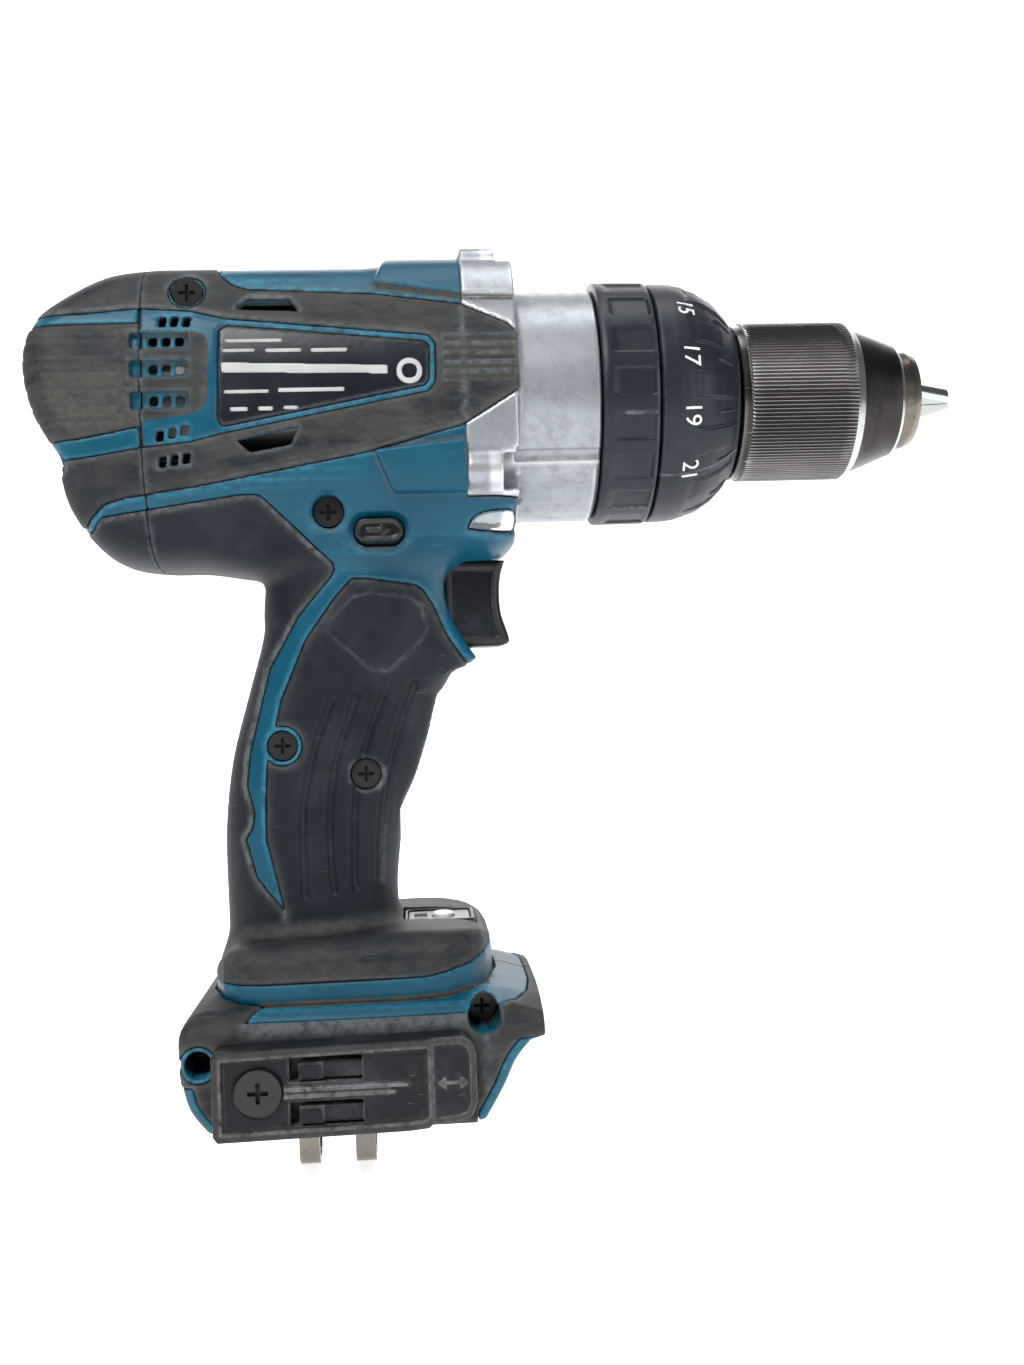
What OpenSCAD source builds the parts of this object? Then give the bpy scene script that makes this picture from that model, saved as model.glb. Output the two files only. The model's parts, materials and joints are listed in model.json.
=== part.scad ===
// Cordless hammer driver-drill, shown as a bare tool without its battery.
// The origin is the centre of the chuck's nose on the spindle axis.
// +X points out of the chuck, +Z points up and +Y points to the tool's left side.
// Every X value below is measured from the chuck's nose, so values behind it are negative.

/* [Housing] */
// X of the rearmost point of the rear cover
rear_x = -227.3; // [-228.5:0.1:-226.5]
// Half width of the motor barrel
barrel_half_w = 31; // [30.6:0.1:31.6]
// Half width of the grip
grip_half_w = 17.5; // [17:0.1:18.5]
// Half width of the battery foot
foot_half_w = 37; // [36.5:0.1:37.5]
// Wall thickness of the housing shells
wall = 2.8; // [2.6:0.1:3]
// Thickness of the rubber that is moulded over the shells
skin = 1.4; // [1:0.1:1.5]
// X of the seam between the shells and the rear cover
rear_seam_x = -198.5; // [-199.5:0.1:-197.5]
// X of the front end of the shells, where the gear case starts
shell_front_x = -121.2; // [-121.4:0.1:-121]

/* [Chuck] */
// Outer radius of the knurled sleeve
sleeve_r = 20.7; // [20.2:0.1:21]
// Outer radius of the nose ring
nose_r = 13; // [12.8:0.1:13.2]
// Radius of the main part of the chuck body
chuck_r = 17.4; // [17.3:0.1:17.5]
// Length of the chuck from its rear face to its nose
chuck_len = 50; // [50:0.1:50.2]
// Angle between each jaw and the spindle axis
jaw_tilt = 15; // [14.8:0.1:15.2]
// Radius of a jaw
jaw_r = 3.4; // [3.3:0.05:3.4]
// Length of a jaw
jaw_len = 33; // [32:0.5:33.5]
// Distance that the closed jaws stand out of the nose
jaw_reach = 9.8; // [9:0.1:10]
// Distance ahead of the nose where the jaws' own axes meet
jaw_meet_x = 7; // [6.8:0.1:7.2]

/* [Collar and gear case] */
// Outer radius of the torque ring
torque_ring_r = 31; // [30.5:0.1:31.2]
// Outer radius of the action mode ring
mode_ring_r = 31.5; // [31.2:0.1:31.8]
// Radius of the gear case collar that takes a side handle
collar_r = 29.5; // [29.3:0.1:29.7]
// Radius of the gear case snout
snout_r = 15.5; // [15.3:0.1:15.6]
// Radius of the spindle in its bearings
spindle_r = 6; // [5.9:0.1:6]

/* [Gears] */
// Module of the first planetary stage
module_1 = 0.7; // [0.7]
// Module of the second planetary stage
module_2 = 0.8; // [0.8]
// Play between meshing teeth, measured along the pitch circle
backlash = 0.2; // [0.16:0.02:0.24]

/* [Motor] */
// Outer radius of the motor can
can_r = 20.4; // [20.2:0.1:20.4]
// Outer radius of the armature stack
stack_r = 15.2; // [15:0.1:15.4]
// Radius of the motor shaft
shaft_r = 2.5; // [2.4:0.1:2.6]

/* [Foot] */
// Z of the bottom of the foot
foot_z = -176.5; // [-177:0.1:-176]
// Z of the ceiling of the battery bay
bay_z = -158.5; // [-159:0.1:-158]
// Width of the belt hook's steel strip
hook_w = 22; // [20:0.5:23]
// Lowest Z of the belt hook
hook_z = -211; // [-213:0.5:-209]

/* [Hidden] */

$fn = 48;
teal = [0.10, 0.38, 0.50];
rubber = [0.17, 0.19, 0.23];
black = [0.12, 0.13, 0.15];
steel = [0.62, 0.63, 0.65];
alloy = [0.74, 0.76, 0.78];
copper = [0.72, 0.45, 0.25];
big = 300;
seat = 0.05;

// ---- Planetary gear sizes ----
sun_teeth = 12;
planet_1_teeth = 18;
ring_1_teeth = sun_teeth + 2 * planet_1_teeth;
planet_2_teeth = 15;
ring_2_teeth = sun_teeth + 2 * planet_2_teeth;
pressure_angle = 20;
arm_1 = module_1 * (sun_teeth + planet_1_teeth) / 2;
arm_2 = module_2 * (sun_teeth + planet_2_teeth) / 2;
ring_r = 20.2;
tube_r = 25.2;
planet_angles = [0, 120, 240];
pin_1_r = 1.5;
pin_2_r = 2;

// ---- Stations along the spindle ----
nose_x = 0;
chuck_rear_x = -chuck_len;
sleeve_front_x = -6;
torque_x = [-72.7, chuck_rear_x - 0.6];
mode_x = [-87.2, -73.2];
collar_x = [-108, -87.6];
flange_x = [shell_front_x, -108];
tube_x = [-135, -107];
ring_1_x = [-131, -122];
planet_1_x = [-130, -123];
carrier_1_x = [-121.4, -119];
ring_2_x = [-118.2, -107.2];
planet_2_x = [-117, -109];
carrier_2_x = [-106.6, -103];
can_x = [-195, -136];
stack_x = [-184, -151];
fan_x = [-145, -140];
commutator_x = [-203, -192.5];
holder_x = [-208, -195.2];
rear_bearing_x = [-213, -208.2];
front_bearing_x = [-139.6, -135.2];
nose_bearing_x = [-63, -56];
mid_bearing_x = [-88, -81];

// ---- Outlines of the shells, as [X, Z] in the side view ----
barrel_zc = -3;
barrel_half_h = 42;
hump_x = [-141, shell_front_x];
hump_z = 38.6;
plate_top_z = 36.2;
chin_x = -109;
chin_z = -28;
rear_curve = [
    [-196, plate_top_z], [-207, 33.6], [-216, 27], [-224.6, 18.5], [rear_x, 8],
    [-225, -4], [-220, -14], [-217.5, -27], [-210, -38.5], [-199.5, -42.2]
];
barrel_outline = concat(
    [[hump_x[1], hump_z], [hump_x[0] + 1, hump_z], [hump_x[0] - 1.5, plate_top_z]],
    smooth(rear_curve, 3),
    [[-176, -45.5], [-124, -45.5], [-113, -42.5], [chin_x, -37], [chin_x, chin_z],
     [shell_front_x, chin_z]]
);
handle_rear = [
    [-170, -22], [-173.4, -51], [-173.7, -59], [-178, -74], [-182.5, -90],
    [-184.8, -107], [-185, -123], [-184.5, -150]
];
handle_front = [[-140.5, -150], [-141.8, -124], [-140.4, -110], [-131.5, -86], [-128, -73]];
guard_line = [[-119, -66.4], [-122.3, -62], [-127.3, -51], [-127, -41], [-124, -22]];
handle_outline = concat(smooth(handle_rear, 2), smooth(handle_front, 2), guard_line);
foot_rear = [
    [-184.5, -135.6], [-186.4, -140.5], [-189.5, -147], [-193.4, -153], [-193.6, -163],
    [-191.5, -171], [-187, foot_z]
];
foot_front = [
    [-121.8, foot_z], [-117.1, -168.5], [-110.4, -158.2], [-105.4, -156.6],
    [-103.7, -150], [-104.6, -144], [-110, -140.2], [-118.3, -137.6], [-122, -134],
    [-140, -132.6]
];
foot_outline = concat(foot_rear, foot_front);
// Half widths of the foot at each height, as [half width, Z]
foot_sides = [
    [foot_half_w, foot_z - 1], [foot_half_w, -153], [foot_half_w - 3, -146],
    [27, -141], [24, -131]
];
foot_corner_r = 15;

// ---- Features of the side walls, as [X, Z] in the side view ----
shell_screws = [
    [-187.7, 24.6], [-155.3, -29.4], [-169, -86.6], [-148.4, -94.3],
    [-189, -160], [-121.6, -152]
];
screw_depths = [25, 24, 16, 16, 24, 24];
screw_head_r = 3.6;
screw_r = 1.9;
boss_r = 3.7;
cover_screw_y = 24.5;
cover_screw_z = -16;
cover_seat_x = -214;
cover_rubber_z = [-9, 15];
plate_outline = [
    [-180.8, -7.7], [-180, 15], [-178.4, 15.9], [-130.4, 11.1], [-129.2, 9.7],
    [-129.5, 1.2], [-130.5, -0.3], [-179.7, -9.6]
];
band_outline = [
    [-197.4, 34], [-176.8, 26.6], [-142, 23.5], [-122.9, 20.5], [-122.9, -10],
    [-143.6, -15.6], [-169, -20], [-197.4, -24.5]
];
grip_outline = [
    [-212, -31], [-172, -25], [-154.5, -43.5], [-136, -50], [-131, -68],
    [-133, -86], [-143, -112], [-143, -127], [-165, -132], [-192, -127],
    [-192, -80], [-178, -46]
];
vent_zs = [11.8, 5, -3];
vent_x = [-187.5, -197];

// ---- Trigger and switch ----
trigger_travel = 7;
trigger_half_w = 9;
trigger_outline = [
    [-128, -40.2], [-111.4, -41], [-112.6, -46.5], [-113, -52], [-112, -57],
    [-110.6, -61.4], [-112, -62.8], [-128, -63.2]
];
stem_x = [-143, -127.5];
stem_z = [-57, -47];
switch_x = [-166, -136];
switch_z = [-66, -41.5];
lever_x = [-148.2, -137.4];
lever_z = [-38, -32.2];
lever_half_w = 27;
slider_x = [-137.5, -128.5];
slider_travel = 6.5;

// ---- Foot fittings ----
platform_z = -132.6;
button_pos = [-130, -132.6];
hook_x = -161.9;
hook_gap = 10;
hook_t = 1.9;
hook_slot_w = 10.4;
hook_screw_z = -165;
side_screw_r = 2.1;
holder_screw = [-174.4, -164.8];
holder_x0 = -185;
holder_x1 = -124;
holder_z = [-176, -155];
bay_half_w = 30.5;
rail_half_w = 26.5;
rail_z = -172.5;

// ---- Plain geometry ----
function unit(v) = v / norm(v);
function spline(a, b, c, d, t) =
    0.5 * ((2 * b) + (c - a) * t + (2 * a - 5 * b + 4 * c - d) * t * t
    + (3 * b - a - 3 * c + d) * t * t * t);
// A smooth curve through the points, with the given steps between two points
function smooth(p, steps) = concat(
    [for (i = [0:len(p) - 2], k = [0:steps - 1])
        spline(p[max(i - 1, 0)], p[i], p[i + 1], p[min(i + 2, len(p) - 1)], k / steps)],
    [p[len(p) - 1]]
);
function twice_area(p) = [for (i = [0:len(p) - 1]) let (j = (i + 1) % len(p))
    p[i][0] * p[j][1] - p[j][0] * p[i][1]] * [for (i = [0:len(p) - 1]) 1];
// The outline moved inwards by d at every edge
function inset(p, d) = let (n = len(p), s = sign(twice_area(p)))
    [for (i = [0:n - 1]) let (
        e = unit(p[i] - p[(i + n - 1) % n]),
        f = unit(p[(i + 1) % n] - p[i]),
        m = s * [-e[1], e[0]],
        k = s * [-f[1], f[0]])
        p[i] + d * (m + k) / (1 + m * k)];
function signed_pow(v, e) = sign(v) * pow(abs(v), e);
// A rounded outline between an ellipse (power 2) and a box (large power)
function superellipse(a, b, power, steps) = [for (i = [0:steps - 1])
    let (t = 360 * (i + 0.5) / steps)
    [a * signed_pow(cos(t), 2 / power), b * signed_pow(sin(t), 2 / power)]];
function corner_arc(cx, cy, r, from) = [for (k = [0:4]) let (t = from + k * 22.5)
    [cx + r * cos(t), cy + r * sin(t)]];
function round_box(x0, x1, h, r) = concat(
    corner_arc(x1 - r, h - r, r, 0), corner_arc(x0 + r, h - r, r, 90),
    corner_arc(x0 + r, -h + r, r, 180), corner_arc(x1 - r, -h + r, r, 270));

// An outline given in [X, Z], with its thickness along Y
module side(points, half_w) {
    rotate([90, 0, 0]) linear_extrude(2 * half_w, center = true) polygon(points);
}
// The same, from y0 to y1
module side_between(points, y0, y1) {
    translate([0, y1, 0]) rotate([90, 0, 0]) linear_extrude(y1 - y0) polygon(points);
}
// A shape given in [Y, Z], drawn out along X
module along_x(x) {
    translate([x[0], 0, 0]) rotate([90, 0, 90]) linear_extrude(x[1] - x[0]) children();
}
// A round bar along X
module rod(x, r) {
    translate([x[0], 0, 0]) rotate([0, 90, 0]) cylinder(h = x[1] - x[0], r = r);
}
module tube(x, r_in, r_out) {
    difference() {
        rod(x, r_out);
        rod([x[0] - 1, x[1] + 1], r_in);
    }
}
// A shape given in [radius, X], turned round the spindle axis
module turned() {
    rotate([0, 90, 0]) rotate_extrude($fn = 72) children();
}
module box(x, y, z) {
    translate([x[0], y[0], z[0]]) cube([x[1] - x[0], y[1] - y[0], z[1] - z[0]]);
}
// A round bar along Y at [X, Z]
module cross_rod(at, y, r) {
    translate([at[0], y[0], at[1]]) rotate([-90, 0, 0]) cylinder(h = y[1] - y[0], r = r, $fn = 32);
}
// Children repeated round the spindle axis
module around(angles) {
    for (a = angles) rotate([a, 0, 0]) children();
}
module mirrored() {
    children();
    mirror([0, 1, 0]) children();
}

// A tube that follows the points, none of which runs straight along X
module swept(points, r, sides = 8) {
    n = len(points);
    tangents = [for (i = [0:n - 1]) unit(points[min(i + 1, n - 1)] - points[max(i - 1, 0)])];
    ring_points = [for (i = [0:n - 1])
        let (u = unit(cross([1, 0, 0], tangents[i])), v = cross(tangents[i], u))
        for (k = [0:sides - 1]) let (a = 360 * k / sides)
        points[i] + r * (cos(a) * u + sin(a) * v)];
    walls = [for (i = [0:n - 2], k = [0:sides - 1]) let (j = (k + 1) % sides)
        [i * sides + k, i * sides + j, (i + 1) * sides + j, (i + 1) * sides + k]];
    caps = [[for (k = [sides - 1:-1:0]) k], [for (k = [0:sides - 1]) (n - 1) * sides + k]];
    polyhedron(ring_points, [for (f = concat(walls, caps)) [for (k = [len(f) - 1:-1:0]) f[k]]]);
}
// Points of a coil spring round an axis along X
function coil(x, r, turns, steps) = [for (i = [0:turns * steps]) let (a = 360 * i / steps)
    [x[0] + (x[1] - x[0]) * i / (turns * steps), r * cos(a), r * sin(a)]];

// ---- Involute gears ----
function involute(a) = tan(a) * 180 / PI - a;
// Angle at radius r between a flank and the middle of its tooth
function flank(r, pitch_r, half_angle) = let (base_r = pitch_r * cos(pressure_angle))
    half_angle + involute(pressure_angle) - (r > base_r ? involute(acos(base_r / r)) : 0);
function gear_points(m, teeth, r_root, r_tip, play) =
    let (pitch_r = m * teeth / 2, half_angle = 90 / teeth - play / pitch_r * 90 / PI / 2,
         radii = [for (k = [0:3]) r_root + (r_tip - r_root) * k / 3])
    [for (t = [0:teeth - 1]) let (mid = 360 * t / teeth)
        each concat(
            [for (r = radii) r * [cos(mid - flank(r, pitch_r, half_angle)),
                                  sin(mid - flank(r, pitch_r, half_angle))]],
            [for (k = [3:-1:0]) let (r = radii[k])
                r * [cos(mid + flank(r, pitch_r, half_angle)),
                     sin(mid + flank(r, pitch_r, half_angle))]])];
// A gear's outline with stub teeth
function outer_gear(m, teeth) =
    gear_points(m, teeth, m * (teeth / 2 - 1.1), m * (teeth / 2 + 0.8), backlash);
// The hole of a ring gear, cut as a gear that is wider by the play
function ring_hole(m, teeth) =
    gear_points(m, teeth, m * (teeth / 2 - 0.8), m * (teeth / 2 + 1.1), -backlash);
// Turn of a planet that sits at angle a and meshes with a sun whose tooth is at angle 0
function planet_turn(a, teeth) = a + 180 - 360 / teeth * (0.5 - a * sun_teeth / 360);
function ring_turn(teeth, own) = -360 / own * ((0 - planet_turn(0, teeth)) * teeth / 360);
// A gear outline is drawn in the plane across X, with its first tooth pointing down
module gear_plate(x, points, turn = 0) {
    translate([x[0], 0, 0]) rotate([0, 90, 0]) linear_extrude(x[1] - x[0])
        rotate(turn) polygon(points);
}
module planet(x, m, teeth, arm, a, pin_r) {
    translate([0, arm * sin(a), -arm * cos(a)]) difference() {
        gear_plate(x, outer_gear(m, teeth), planet_turn(a, teeth));
        rod([x[0] - 1, x[1] + 1], pin_r + seat);
    }
}
module planet_pins(x, arm, r) {
    for (a = planet_angles) translate([0, arm * sin(a), -arm * cos(a)]) rod(x, r);
}

// ---- Outer form of the plastic housing, moved inwards by d ----
module barrel_form(d) {
    intersection() {
        side(inset(barrel_outline, d), big);
        along_x([-big, 0]) translate([0, barrel_zc])
            polygon(superellipse(barrel_half_w - d, barrel_half_h - d, 2.4, 40));
    }
}
module handle_form(d) {
    intersection() {
        side(inset(handle_outline, d), big);
        // The grip leans forward as it rises
        translate([-150.4, 0, -50]) rotate([0, 9.9, 0]) translate([0, 0, -110])
            linear_extrude(140) polygon(superellipse(27 - d, grip_half_w - d, 2.3, 32));
    }
}
module foot_form(d) {
    sides = concat([for (p = foot_sides) [p[0] - d, p[1]]],
                   [for (i = [len(foot_sides) - 1:-1:0])
                       [-foot_sides[i][0] + d, foot_sides[i][1]]]);
    intersection() {
        side(inset(foot_outline, d), big);
        along_x([-big, 0]) polygon(sides);
        translate([0, 0, foot_z - 5]) linear_extrude(60)
            polygon(round_box(-193.7 + d, -103.6 - d, foot_half_w - d, foot_corner_r));
    }
}
module form(d) {
    barrel_form(d);
    handle_form(d);
    foot_form(d);
}
module half_space(sign_y) {
    translate([-big, sign_y > 0 ? 0 : -big, -big]) cube([2 * big, big, 2 * big]);
}
// A surface layer of the form, t thick
module layer(t) {
    difference() {
        form(0);
        form(t);
    }
}

// ---- Housing shells ----
module rubber_area() {
    intersection() {
        layer(skin);
        union() {
            difference() {
                side(band_outline, big);
                side(inset(plate_outline, -0.4), big);
            }
            side(grip_outline, big);
        }
    }
}
module plate_area() {
    intersection() {
        layer(1);
        side(plate_outline, big);
    }
}
module cavity() {
    intersection() {
        form(wall);
        translate([-big, -big, bay_z + 3]) cube(2 * big);
    }
    // The gear case stands in the open front of the barrel
    rod([shell_front_x - 20, chin_x + 20], 27.5);
    rod([shell_front_x, chin_x + 20], 30.5 + seat);
    box([shell_front_x - 8, chin_x - wall], [-19, 19], [-38, chin_z + 2]);
}
module battery_bay() {
    box([-184.5, -90], [-bay_half_w, bay_half_w], [rail_z, bay_z]);
    box([-184.5, -90], [-rail_half_w, rail_half_w], [foot_z - 5, rail_z + 1]);
}
module openings() {
    // Trigger mouth, lever slots and slider slot
    box([-134, -100], [-9.4, 9.4], [-63.6, -39.8]);
    box([lever_x[0] - 0.4, lever_x[1] + 0.4], [-40, 40], [lever_z[0] - 0.4, lever_z[1] + 0.4]);
    box([slider_x[0] - 1, slider_x[1] + slider_travel + 1], [-7.4, 7.4], [28, 45]);
    // Lamp windows on both sides of the chin
    mirrored() box([-121, -112.5], [17, 40], [-34.5, -28.6]);
    // Cooling air vents
    mirrored() for (z = vent_zs) box([vent_x[1], vent_x[0]], [20, 45], [z - 1.8, z + 1.8]);
    // Gauge recess in the platform and mouth for the terminals
    box([-140.4, -121.6], [-9.4, 9.4], [-139, -125]);
    box([-176.4, -145.6], [-13.4, 13.4], [bay_z - 1, bay_z + 4]);
}
module screw_bosses(sign_y) {
    for (i = [0:len(shell_screws) - 1]) {
        from = i == 0 ? 7 : 0;
        cross_rod(shell_screws[i], sign_y > 0 ? [from, screw_depths[i]]
            : [-screw_depths[i], -from], boss_r);
        // The foot's screws sit deep in tubes
        if (sign_y < 0 && i > 3) cross_rod(shell_screws[i], [-36, -screw_depths[i] + 3], boss_r + 1.4);
    }
}
module screw_holes(sign_y) {
    for (i = [0:len(shell_screws) - 1]) {
        cross_rod(shell_screws[i], sign_y > 0 ? [-1, 12] : [-45, 1], screw_r + seat);
        if (sign_y < 0)
            cross_rod(shell_screws[i], [-45, -screw_depths[i] + 3], screw_head_r + 0.3);
    }
}
module shell(sign_y) {
    difference() {
        intersection() {
            union() {
                difference() {
                    form(0);
                    cavity();
                }
                intersection() {
                    form(skin);
                    union() {
                        screw_bosses(sign_y);
                        at_cover_screws() rod([rear_seam_x, rear_seam_x + 12], 4.4);
                    }
                }
            }
            half_space(sign_y);
            box([rear_seam_x, big], [-big, big], [-big, big]);
        }
        battery_bay();
        openings();
        screw_holes(sign_y);
        rubber_area();
        plate_area();
        at_cover_screws() rod([rear_seam_x - 1, rear_seam_x + 10], 1.5);
        // Holes for the screws of the belt hook and the bit holder
        cross_rod([hook_x, hook_screw_z], [33, 45], side_screw_r + seat);
        cross_rod(holder_screw, [-45, -33], side_screw_r + seat);
    }
}
module housing_right() { color(teal) shell(-1); }
module housing_left() { color(teal) shell(1); }
module overmould(sign_y) {
    difference() {
        intersection() {
            rubber_area();
            half_space(sign_y);
            box([rear_seam_x, big], [-big, big], [-big, big]);
        }
        openings();
        screw_holes(sign_y);
    }
}
module overmould_right() { color(rubber) overmould(-1); }
module overmould_left() { color(rubber) overmould(1); }
module cover_half_space() {
    box([-big, rear_seam_x - 0.05], [-big, big], [-46, big]);
}
module cover_layer() {
    difference() {
        barrel_form(0);
        barrel_form(skin);
    }
}
module cover_rubber_area() {
    intersection() {
        cover_layer();
        union() {
            box([-big, -201], [-big, big], cover_rubber_z);
            box([-big, rear_seam_x], [-big, big], [24, 50]);
            box([-big, rear_seam_x], [-big, big], [-60, -24]);
        }
        cover_half_space();
    }
}
module cover_bare_area() {
    intersection() {
        cover_layer();
        union() {
            box([-201, rear_seam_x], [-big, big], [-24, 24]);
            box([-big, -200], [-big, big], [cover_rubber_z[1], 24]);
            box([-big, -200], [-big, big], [-24, cover_rubber_z[0]]);
        }
    }
}
module rear_cover() {
    color(teal) difference() {
        intersection() {
            union() {
                difference() {
                    barrel_form(skin);
                    barrel_form(wall);
                }
                cover_bare_area();
                at_cover_screws() rod([cover_seat_x - 4.6, rear_seam_x], 4.4);
            }
            cover_half_space();
        }
        cover_screw_holes();
    }
}
module at_cover_screws() {
    for (y = [-1, 1]) translate([0, y * cover_screw_y, cover_screw_z]) children();
}
module cover_screw_holes() {
    at_cover_screws() {
        rod([-big, rear_seam_x + 1], 1.6);
        rod([-big, cover_seat_x], 3.2);
    }
}
module rear_cover_rubber() {
    color(rubber) difference() {
        cover_rubber_area();
        cover_screw_holes();
    }
}
module name_plates() {
    color(black) intersection() {
        plate_area();
        union() {
            half_space(1);
            half_space(-1);
        }
    }
}
module long_screw(length, head_r, r = screw_r) {
    cylinder(h = length, r = r, $fn = 24);
    translate([0, 0, -2.6]) difference() {
        cylinder(h = 2.6, r = head_r, $fn = 32);
        for (a = [0, 90]) rotate(a) translate([-2, -0.4, -1]) cube([4, 0.8, 2.2]);
    }
}
module housing_screws() {
    color(steel) {
        for (i = [0:len(shell_screws) - 1])
            translate([shell_screws[i][0], -screw_depths[i] + 3, shell_screws[i][1]])
                rotate([-90, 0, 0]) long_screw(screw_depths[i] + 8, screw_head_r);
        at_cover_screws() translate([cover_seat_x, 0, 0]) rotate([0, 90, 0])
            long_screw(24, 3, 1.45);
    }
}

// ---- Gear case and gearbox ----
case_bosses = [[-14, 33], [14, 33], [-27, -20.5], [27, -20.5]];
case_boss_r = 5.4;
module gear_case() {
    color(alloy) difference() {
        union() {
            rod(flange_x, 30.5);
            rod([flange_x[1], collar_x[1]], collar_r);
            rod([collar_x[1], -53], snout_r);
            for (p = case_bosses) translate([0, p[0], p[1]]) rod([-121.2, -112], case_boss_r);
            box([-121.2, -110], [-14, 14], [26, 35.5]);
        }
        rod([-125, -91], 25.6);
        rod([-92, -80], 12);
        rod([-81, -63], 10.5);
        rod([-63.1, -56], 12);
        rod([-57, -50], 9);
        around([for (k = [0:5]) 30 + k * 60]) translate([0, 0, 19.5]) rod([-92, -85], 2.15);
        for (p = case_bosses) translate([0, p[0], p[1]]) {
            rod([-122, -110], 2.1);
            rod([-115, -110], 3.9);
        }
    }
}
// Fixed ratchet face of the hammer action
module hammer_cam() {
    color(steel) {
        tube([-93.5, -91.05], 7, 14);
        around([for (k = [0:11]) k * 30]) box([-94.3, -93.4], [-0.9, 0.9], [7.3, 11.5]);
    }
}
module gear_case_screws() {
    color(steel) for (p = case_bosses) translate([-115, p[0], p[1]])
        rotate([0, -90, 0]) long_screw(5.8, 3.4);
}
module gearbox_tube() {
    color(black) difference() {
        rod(tube_x, tube_r);
        rod([tube_x[0] + 2.8, tube_x[1] + 1], ring_r + 1);
        rod([tube_x[0] - 1, tube_x[0] + 4], 6);
    }
}
module ring_gear(x, m, teeth, own) {
    color(steel) difference() {
        rod(x, ring_r + 0.95);
        gear_plate([x[0] - 1, x[1] + 1], ring_hole(m, teeth), ring_turn(own, teeth));
    }
}
module ring_gear_1() { ring_gear(ring_1_x, module_1, ring_1_teeth, planet_1_teeth); }
module ring_gear_2() { ring_gear(ring_2_x, module_2, ring_2_teeth, planet_2_teeth); }
module clutch_pins() {
    color(steel) around([for (k = [0:5]) 30 + k * 60])
        translate([0, 0, 19.5]) rod([-107, -82.6], 2.1);
}
module clutch_washer() { color(steel) tube([-82.6, -80.6], snout_r + 0.2, 24); }
module clutch_spring() { color(steel) swept(coil([-79.2, -66], 19.8, 4, 16), 1.3); }
module ball_bearing(x, r_in, r_out) {
    w = x[1] - x[0];
    turned() polygon([
        [r_in, x[0]], [r_out, x[0]], [r_out, x[1]], [r_out - 1, x[1]],
        [r_out - 1.3, x[1] - w * 0.12], [r_in + 1.3, x[1] - w * 0.12],
        [r_in + 1, x[1]], [r_in, x[1]]
    ]);
}
module bearings() {
    color(steel) {
        ball_bearing(nose_bearing_x, spindle_r + seat, 12);
        ball_bearing(mid_bearing_x, spindle_r + seat, 12);
        ball_bearing(front_bearing_x, shaft_r + seat, 5.5);
        ball_bearing(rear_bearing_x, shaft_r + seat, 6.5);
    }
}

// ---- Motor ----
module motor_can() {
    color(steel) difference() {
        rod(can_x, can_r);
        rod([can_x[0] - 1, can_x[1] - 1.8], can_r - 1.6);
        rod([can_x[1] - 3, can_x[1] + 1], 5.5);
        around([45, 135, 225, 315]) box([-146, -139], [-5, 5], [15, 30]);
    }
}
module magnets() {
    color([0.25, 0.25, 0.27]) intersection() {
        tube([-188, -148], stack_r + 0.7, can_r - 1.6);
        mirrored() box([-190, -140], [4, 30], [-30, 30]);
    }
}
module brush_holder() {
    color(black) difference() {
        union() {
            rod(holder_x, can_r);
            rod([-213.2, -207], 8.5);
        }
        rod([-205.4, -190], 14);
        rod([-214, -208.2], 6.5);
        rod([-209, -200], 3.4);
        box([-201.6, -195], [-19, 19], [-3.6, 3.6]);
    }
}
module brushes() {
    color([0.2, 0.19, 0.19]) mirrored() box([-201, -195.6], [6.9, 14.4], [-3, 3]);
}
module brush_springs() {
    color(steel) mirrored() translate([-198.3, 0, 0]) rotate([0, 0, 90])
        swept(coil([14.9, 18.6], 2, 3, 10), 0.35, 6);
}
module armature() {
    slots = 12;
    color([0.45, 0.45, 0.47]) {
        difference() {
            rod(stack_x, stack_r);
            around([for (k = [0:slots - 1]) k * 360 / slots])
                box([stack_x[0] - 1, stack_x[1] + 1], [-0.8, 0.8], [11, 20]);
            rod([stack_x[0] - 1, stack_x[1] + 1], shaft_r);
        }
        rod([-214, -121.6], shaft_r);
    }
    color(copper) {
        tube([stack_x[0] - 6, stack_x[0]], shaft_r, 12.6);
        tube([stack_x[1], stack_x[1] + 5], shaft_r, 12.6);
    }
}
module commutator() {
    color(copper) difference() {
        rod(commutator_x, 6.5);
        rod([-204, -190], shaft_r);
        around([for (k = [0:11]) 15 + k * 30]) box([-204, -193.5], [-0.2, 0.2], [5.6, 8]);
    }
}
module fan() {
    blades = 9;
    color(black) difference() {
        union() {
            rod([fan_x[0], fan_x[0] + 1], 16.5);
            rod(fan_x, 5);
            around([for (k = [0:blades - 1]) k * 360 / blades])
                box(fan_x, [-0.6, 0.6], [4, 16.3]);
        }
        rod([fan_x[0] - 1, fan_x[1] + 1], shaft_r);
    }
}
module motor_pinion() {
    color(steel) difference() {
        gear_plate([-131.4, -121.8], outer_gear(module_1, sun_teeth));
        rod([-140, -120], shaft_r);
    }
}
module carrier_1() {
    color(steel) {
        rod(carrier_1_x, 14);
        planet_pins([planet_1_x[0], carrier_1_x[0] + 0.1], arm_1, pin_1_r);
        gear_plate([carrier_1_x[1] - 0.1, -107.6], outer_gear(module_2, sun_teeth));
    }
}
module planet_1(a) { color(steel) planet(planet_1_x, module_1, planet_1_teeth, arm_1, a, pin_1_r); }
module planet_2(a) { color(steel) planet(planet_2_x, module_2, planet_2_teeth, arm_2, a, pin_2_r); }
module planet_1a() { planet_1(planet_angles[0]); }
module planet_1b() { planet_1(planet_angles[1]); }
module planet_1c() { planet_1(planet_angles[2]); }
module planet_2a() { planet_2(planet_angles[0]); }
module planet_2b() { planet_2(planet_angles[1]); }
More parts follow.
